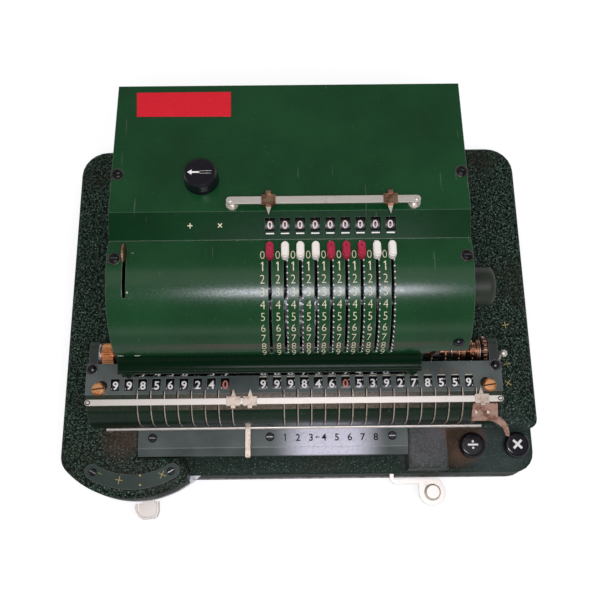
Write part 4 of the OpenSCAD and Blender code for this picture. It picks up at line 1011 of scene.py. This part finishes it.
class CALCULATOR_OT_carriage(bpy.types.Operator):
    """Adds the divider lines, marks and fittings on the carriage"""
    bl_idname = "calculator.carriage"
    bl_label = "Carriage"

    def execute(self, context):
        y, z, r = ROLL
        # Wires over the roll, eight below the counter and fifteen below the result, each with a black strip
        # along its left, a painted shadow
        wires = [-106.3 + i * (106.3 - 44.4) / 7 for i in range(8)]
        wires += [-10.6 + i * (115.0 + 10.6) / 14 for i in range(15)]
        lines, wire_shadows = Shape(), Shape()
        middle = r + 0.12
        for x in wires:
            # Level from the plate, round the roll in steps of 8 degrees, and straight down
            path = [(x, -59.2, PLATE_Z + 0.1)]
            for i in range(12):
                a = math.radians(88 - i * 8)
                path.append((x, y - middle * math.cos(a), z + middle * math.sin(a)))
            path.append((x, y - middle, 70.0))
            lines.wire(path, size("divider") / 2, 8, 0.6)
            # A painted shadow: a black strip just left of and below each wire
            wire_shadows.wire([(px - 0.75, py + 0.05, pz - 0.06) for px, py, pz in path], 0.35, 6, 0.5)
        piece("divider_lines", lines, "nickel plate, dulled", "carriage", 60)
        piece("divider_shadows", wire_shadows, "filling wax, black", "carriage", 60)

        # A fine pale line behind each window of the result, a painted highlight on the window's edge, and
        # the numbers of a few places
        over = Shape()
        for i in range(PLACES):
            over.block(4.6, 0.35, -0.05, 0.07, level(RESULT_X - i * PITCH, -50.55, PLATE_Z))
        piece("window_edge_highlights", over, "filling wax, cream", "carriage")
        small = Shape()
        for i in range(4):
            small.stamp(str(i + 1), 2.6, level(RESULT_X - i * PITCH, -47.2, PLATE_Z))
        small.stamp("1", 2.6, level(-121.6, -46.9, PLATE_Z))
        piece("place_numerals", small, "filling wax, sienna", "carriage")

        # A dome in a ring at each end of the plate
        domes, rings = Shape(), Shape()
        profile = [(0, -0.05), (3.2, -0.05), (3.2, 0.9), (2.9, 1.6), (2.0, 2.3), (0.9, 2.6), (0, 2.65)]
        for x in (-137, 129):
            seat = level(x, -44.4, PLATE_Z)
            domes.lathe(profile, seat)
            rings.lathe([(3.3, -0.05), (4.1, -0.05), (4.0, 0.35), (3.3, 0.4)], seat)
        piece("end_domes", domes, "phenolic moulding, polished", "carriage", 50)
        piece("end_dome_rings", rings, "steel, oiled", "carriage", 50)

        # Two rivets in the handle, which slopes at 45 degrees on the roll, this far from its middle
        rivets, slant, reach = Shape(), math.sqrt(0.5), 19.4
        for x in (114.6, 122.4):
            seat = Spot((x, y - reach * slant, z + reach * slant), (0, slant, slant), (0, -slant, slant))
            rivets.lathe([(0, -0.05), (1.3, -0.05), (1.15, 0.3), (0.7, 0.5), (0, 0.55)], seat, 16)
        piece("handle_rivets", rivets, "nickel plate, polished", "carriage", 50)
        # The seams round the end rivets of the bar, black in the slots of the brass screws as painted shade,
        # and two black discs beside them as painted shadow
        seams = Shape()
        for x in (-137.5, 129.5):
            seat = level(x, BAR_Y, BAR_TOP)
            seams.lathe([(1.05, -0.05), (1.6, -0.05), (1.6, 0.06), (1.05, 0.08)], seat, 20)
        piece("bar_rivet_seams", seams, "filling wax, black", "carriage")
        slot_shade = Shape()
        for x in (-131.7, 123.7):
            slot_shade.block(8.0, 0.7, 0.9, 1.35, level(x, -57.9, PLATE_Z, 8))
        piece("brass_screw_slot_shade", slot_shade, "filling wax, black", "carriage")
        # Two black discs beside the brass screws: painted shadow
        shadow_disc_shape = Shape()
        for x, disc_y in ((-129.6, -55.8), (121.4, -55.9)):
            shadow_disc_shape.lathe([(0, -0.02), (3.5, -0.02), (3.5, 0.1), (0, 0.12)], level(x, disc_y, PLATE_Z))
        piece("shadow_discs", shadow_disc_shape, "filling wax, black", "carriage")
        return {"FINISHED"}


class CALCULATOR_OT_clearing(bpy.types.Operator):
    """Adds the knurled drum, collars and pins of the clearing shaft"""
    bl_idname = "calculator.clearing"
    bl_label = "Clearing shaft"

    def execute(self, context):
        # Thirty ridges, each from the root of one groove over its crest to the next root
        ridges = 30
        knurl = Shape()
        outline = []
        for i in range(ridges):
            for r, part in ((7.05, -0.42), (7.6, -0.18), (7.6, 0.18), (7.05, 0.42)):
                a = math.tau * (i + part) / ridges
                outline.append((r * math.cos(a), r * math.sin(a)))
        knurl.prism(outline, 0, 7.6, from_left(-131.4))
        piece("knurled_drum", knurl, "brass, bare", "clearing_shaft")

        # Collars from one X to another, with a hole, an outer radius and a narrow bevel
        collars = Shape()
        for left, right, hole, r in ((-133.2, -131.7, 3.3, 8.0), (119.1, 120.0, 6.6, 8.2),
                                     (100.9, 102.0, 3.1, 4.2)):
            end = right - left
            profile = [(hole, 0), (r - 0.25, 0), (r, 0.25), (r, end - 0.25), (r - 0.25, end), (hole, end)]
            collars.lathe(profile, from_left(left), 36)
        piece("shaft_collars", collars, "steel, bright turned", "clearing_shaft", 40)

        # Twelve carry pins round the shaft beside each wheel of the result
        pins = Shape()
        for i in range(PLACES):
            for j in range(12):
                spot = on_round(RESULT_X - i * PITCH + 4.2, *SHAFT, 6.5, 30 * j)
                pins.lathe([(0, -0.2), (0.45, -0.2), (0.45, 0.35), (0.3, 0.6), (0, 0.7)], spot.flat(), 8)
        piece("carry_pins", pins, "nickel plate, polished", "clearing_shaft", 50)

        # Bright tips on the eighteen teeth of the gear
        tips = Shape()
        for j in range(18):
            tips.block(2.2, 1.1, -0.4, 0.35, on_round(122.7, *SHAFT, 9.35, 20 * j).flat(), 0.8)
        piece("gear_tips", tips, "steel, bright turned", "clearing_shaft")
        return {"FINISHED"}


class CALCULATOR_OT_controls(bpy.types.Operator):
    """Adds the marks and small parts of the keys, knobs, scale and sector plate"""
    bl_idname = "calculator.controls"
    bl_label = "Controls"

    def execute(self, context):
        for name, x, char, weight in (("divide", 121.1, "÷", 0.004), ("multiply", 152.5, "×", 0.016)):
            mark = Shape()
            mark.stamp(char, 15.0, level(x, KEY_Y, KEY_TOP), thick=0.06, sunk=0.25, weight=weight)
            piece(name + "_mark", mark, "filling wax, white", name + "_key")

        # An arrow head and two lines on the face of the knob, 9.4 mm above the panel
        arrow = Shape()
        seat = on_panel(-58.5, 54.5)
        face = Spot(seat(0, 0, 9.4), seat.up, seat.out)
        arrow.prism([(-7.6, 0), (-4.9, 1.8), (-4.9, 0.55), (-0.3, 0.55), (-0.3, -0.55), (-4.9, -0.55),
                     (-4.9, -1.8)], -0.1, 0.12, face)
        for v in (0.85, -0.85):
            arrow.block(7.0, 0.18, -0.1, 0.08, Spot(face(3.3, v), face.up, face.out))
        piece("selector_arrow", arrow, "filling wax, white", "selector_knob")

        # A dark dot on each red knob
        for k in RED_COLUMNS:
            dot = Shape()
            spot = on_round(column_x(k), 0, AXIS_Z, DRUM_R + 5.4, HOME + 2.2)
            dot.lathe([(0, -0.1), (0.45, -0.1), (0.45, 0.05), (0, 0.08)], spot.flat(), 10)
            piece("knob_dot_%d" % k, dot, "filling wax, black", "setting_lever_%d" % k)

        # Signs along the arc of the sector plate, turned to its middle, and two dots
        signs = Shape()
        for char, x, y, high in (("−", -137.1, -108.0, 8.0), ("+", -123.9, -112.5, 12.6),
                                 ("×", -94.8, -109.1, 12.6), ("+", -123.5, -119.4, 3.4)):
            turn = math.degrees(math.atan2(x - SECTOR[0], SECTOR[1] - y))
            signs.stamp(char, high, level(x, y, SECTOR_TOP, turn), weight=-0.022)
        for x, y in ((-109.8, -109.6), (-109.5, -116.0)):
            signs.lathe([(0, -0.02), (0.75, -0.02), (0.75, 0.08), (0, 0.1)], level(x, y, SECTOR_TOP), 14)
        piece("sector_signs", signs, "filling wax, old gold", "base")

        # The scale's figures, and a small arrow between two of them
        scale = Shape()
        for i in range(8):
            scale.stamp(str(i + 1), 5.0, level(-10.8 + i * 8.96, SCALE_Y, SCALE_TOP), weight=0.014)
        scale.prism([(-1.6, 0), (-0.2, 0.9), (-0.2, 0.25), (1.6, 0.25), (1.6, -0.25), (-0.2, -0.25),
                     (-0.2, -0.9)], -0.05, 0.08, level(11.6, SCALE_Y, SCALE_TOP))
        piece("scale_numerals", scale, "filling wax, black", "base")
        return {"FINISHED"}


class CALCULATOR_OT_deck(bpy.types.Operator):
    """Adds the marks on the deck of the base"""
    bl_idname = "calculator.deck"
    bl_label = "Deck marks"

    def execute(self, context):
        marks = Shape()
        for char, x, y in (("+", 148.6, -5.7), ("÷", 147.5, -34.5), ("×", 147.0, -48.3)):
            marks.stamp(char, 11.5, level(x, y, DECK_Z, 8), thick=0.25, weight=-0.018)
        piece("deck_marks", marks, "filling wax, old gold", "base")
        return {"FINISHED"}


class CALCULATOR_PT_panel(bpy.types.Panel):
    """Sidebar panel with the sizes, the colours and the pieces"""
    bl_idname = "CALCULATOR_PT_panel"
    bl_label = "Desk calculator"
    bl_space_type = "VIEW_3D"
    bl_region_type = "UI"
    bl_category = "Calculator"

    def draw(self, context):
        for group in (context.scene.calculator_sizes, context.scene.calculator_colours):
            for prop in group.__annotations__:
                self.layout.prop(group, prop)
        for operator in OPERATORS:
            self.layout.operator(operator.bl_idname)


OPERATORS = (CALCULATOR_OT_stage, CALCULATOR_OT_solids, CALCULATOR_OT_cover, CALCULATOR_OT_drums,
             CALCULATOR_OT_carriage, CALCULATOR_OT_clearing, CALCULATOR_OT_controls, CALCULATOR_OT_deck)
CLASSES = (CalculatorColours, CalculatorSizes) + OPERATORS + (CALCULATOR_PT_panel,)


def register():
    for cls in CLASSES:
        bpy.utils.register_class(cls)
    bpy.types.Scene.calculator_colours = PointerProperty(type=CalculatorColours)
    bpy.types.Scene.calculator_sizes = PointerProperty(type=CalculatorSizes)


def unregister():
    del bpy.types.Scene.calculator_sizes
    del bpy.types.Scene.calculator_colours
    for cls in reversed(CLASSES):
        bpy.utils.unregister_class(cls)


def main():
    """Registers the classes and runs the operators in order."""
    register()
    for operator in OPERATORS:
        getattr(bpy.ops.calculator, operator.bl_idname.split(".")[1])()


if __name__ == "__main__":
    main()
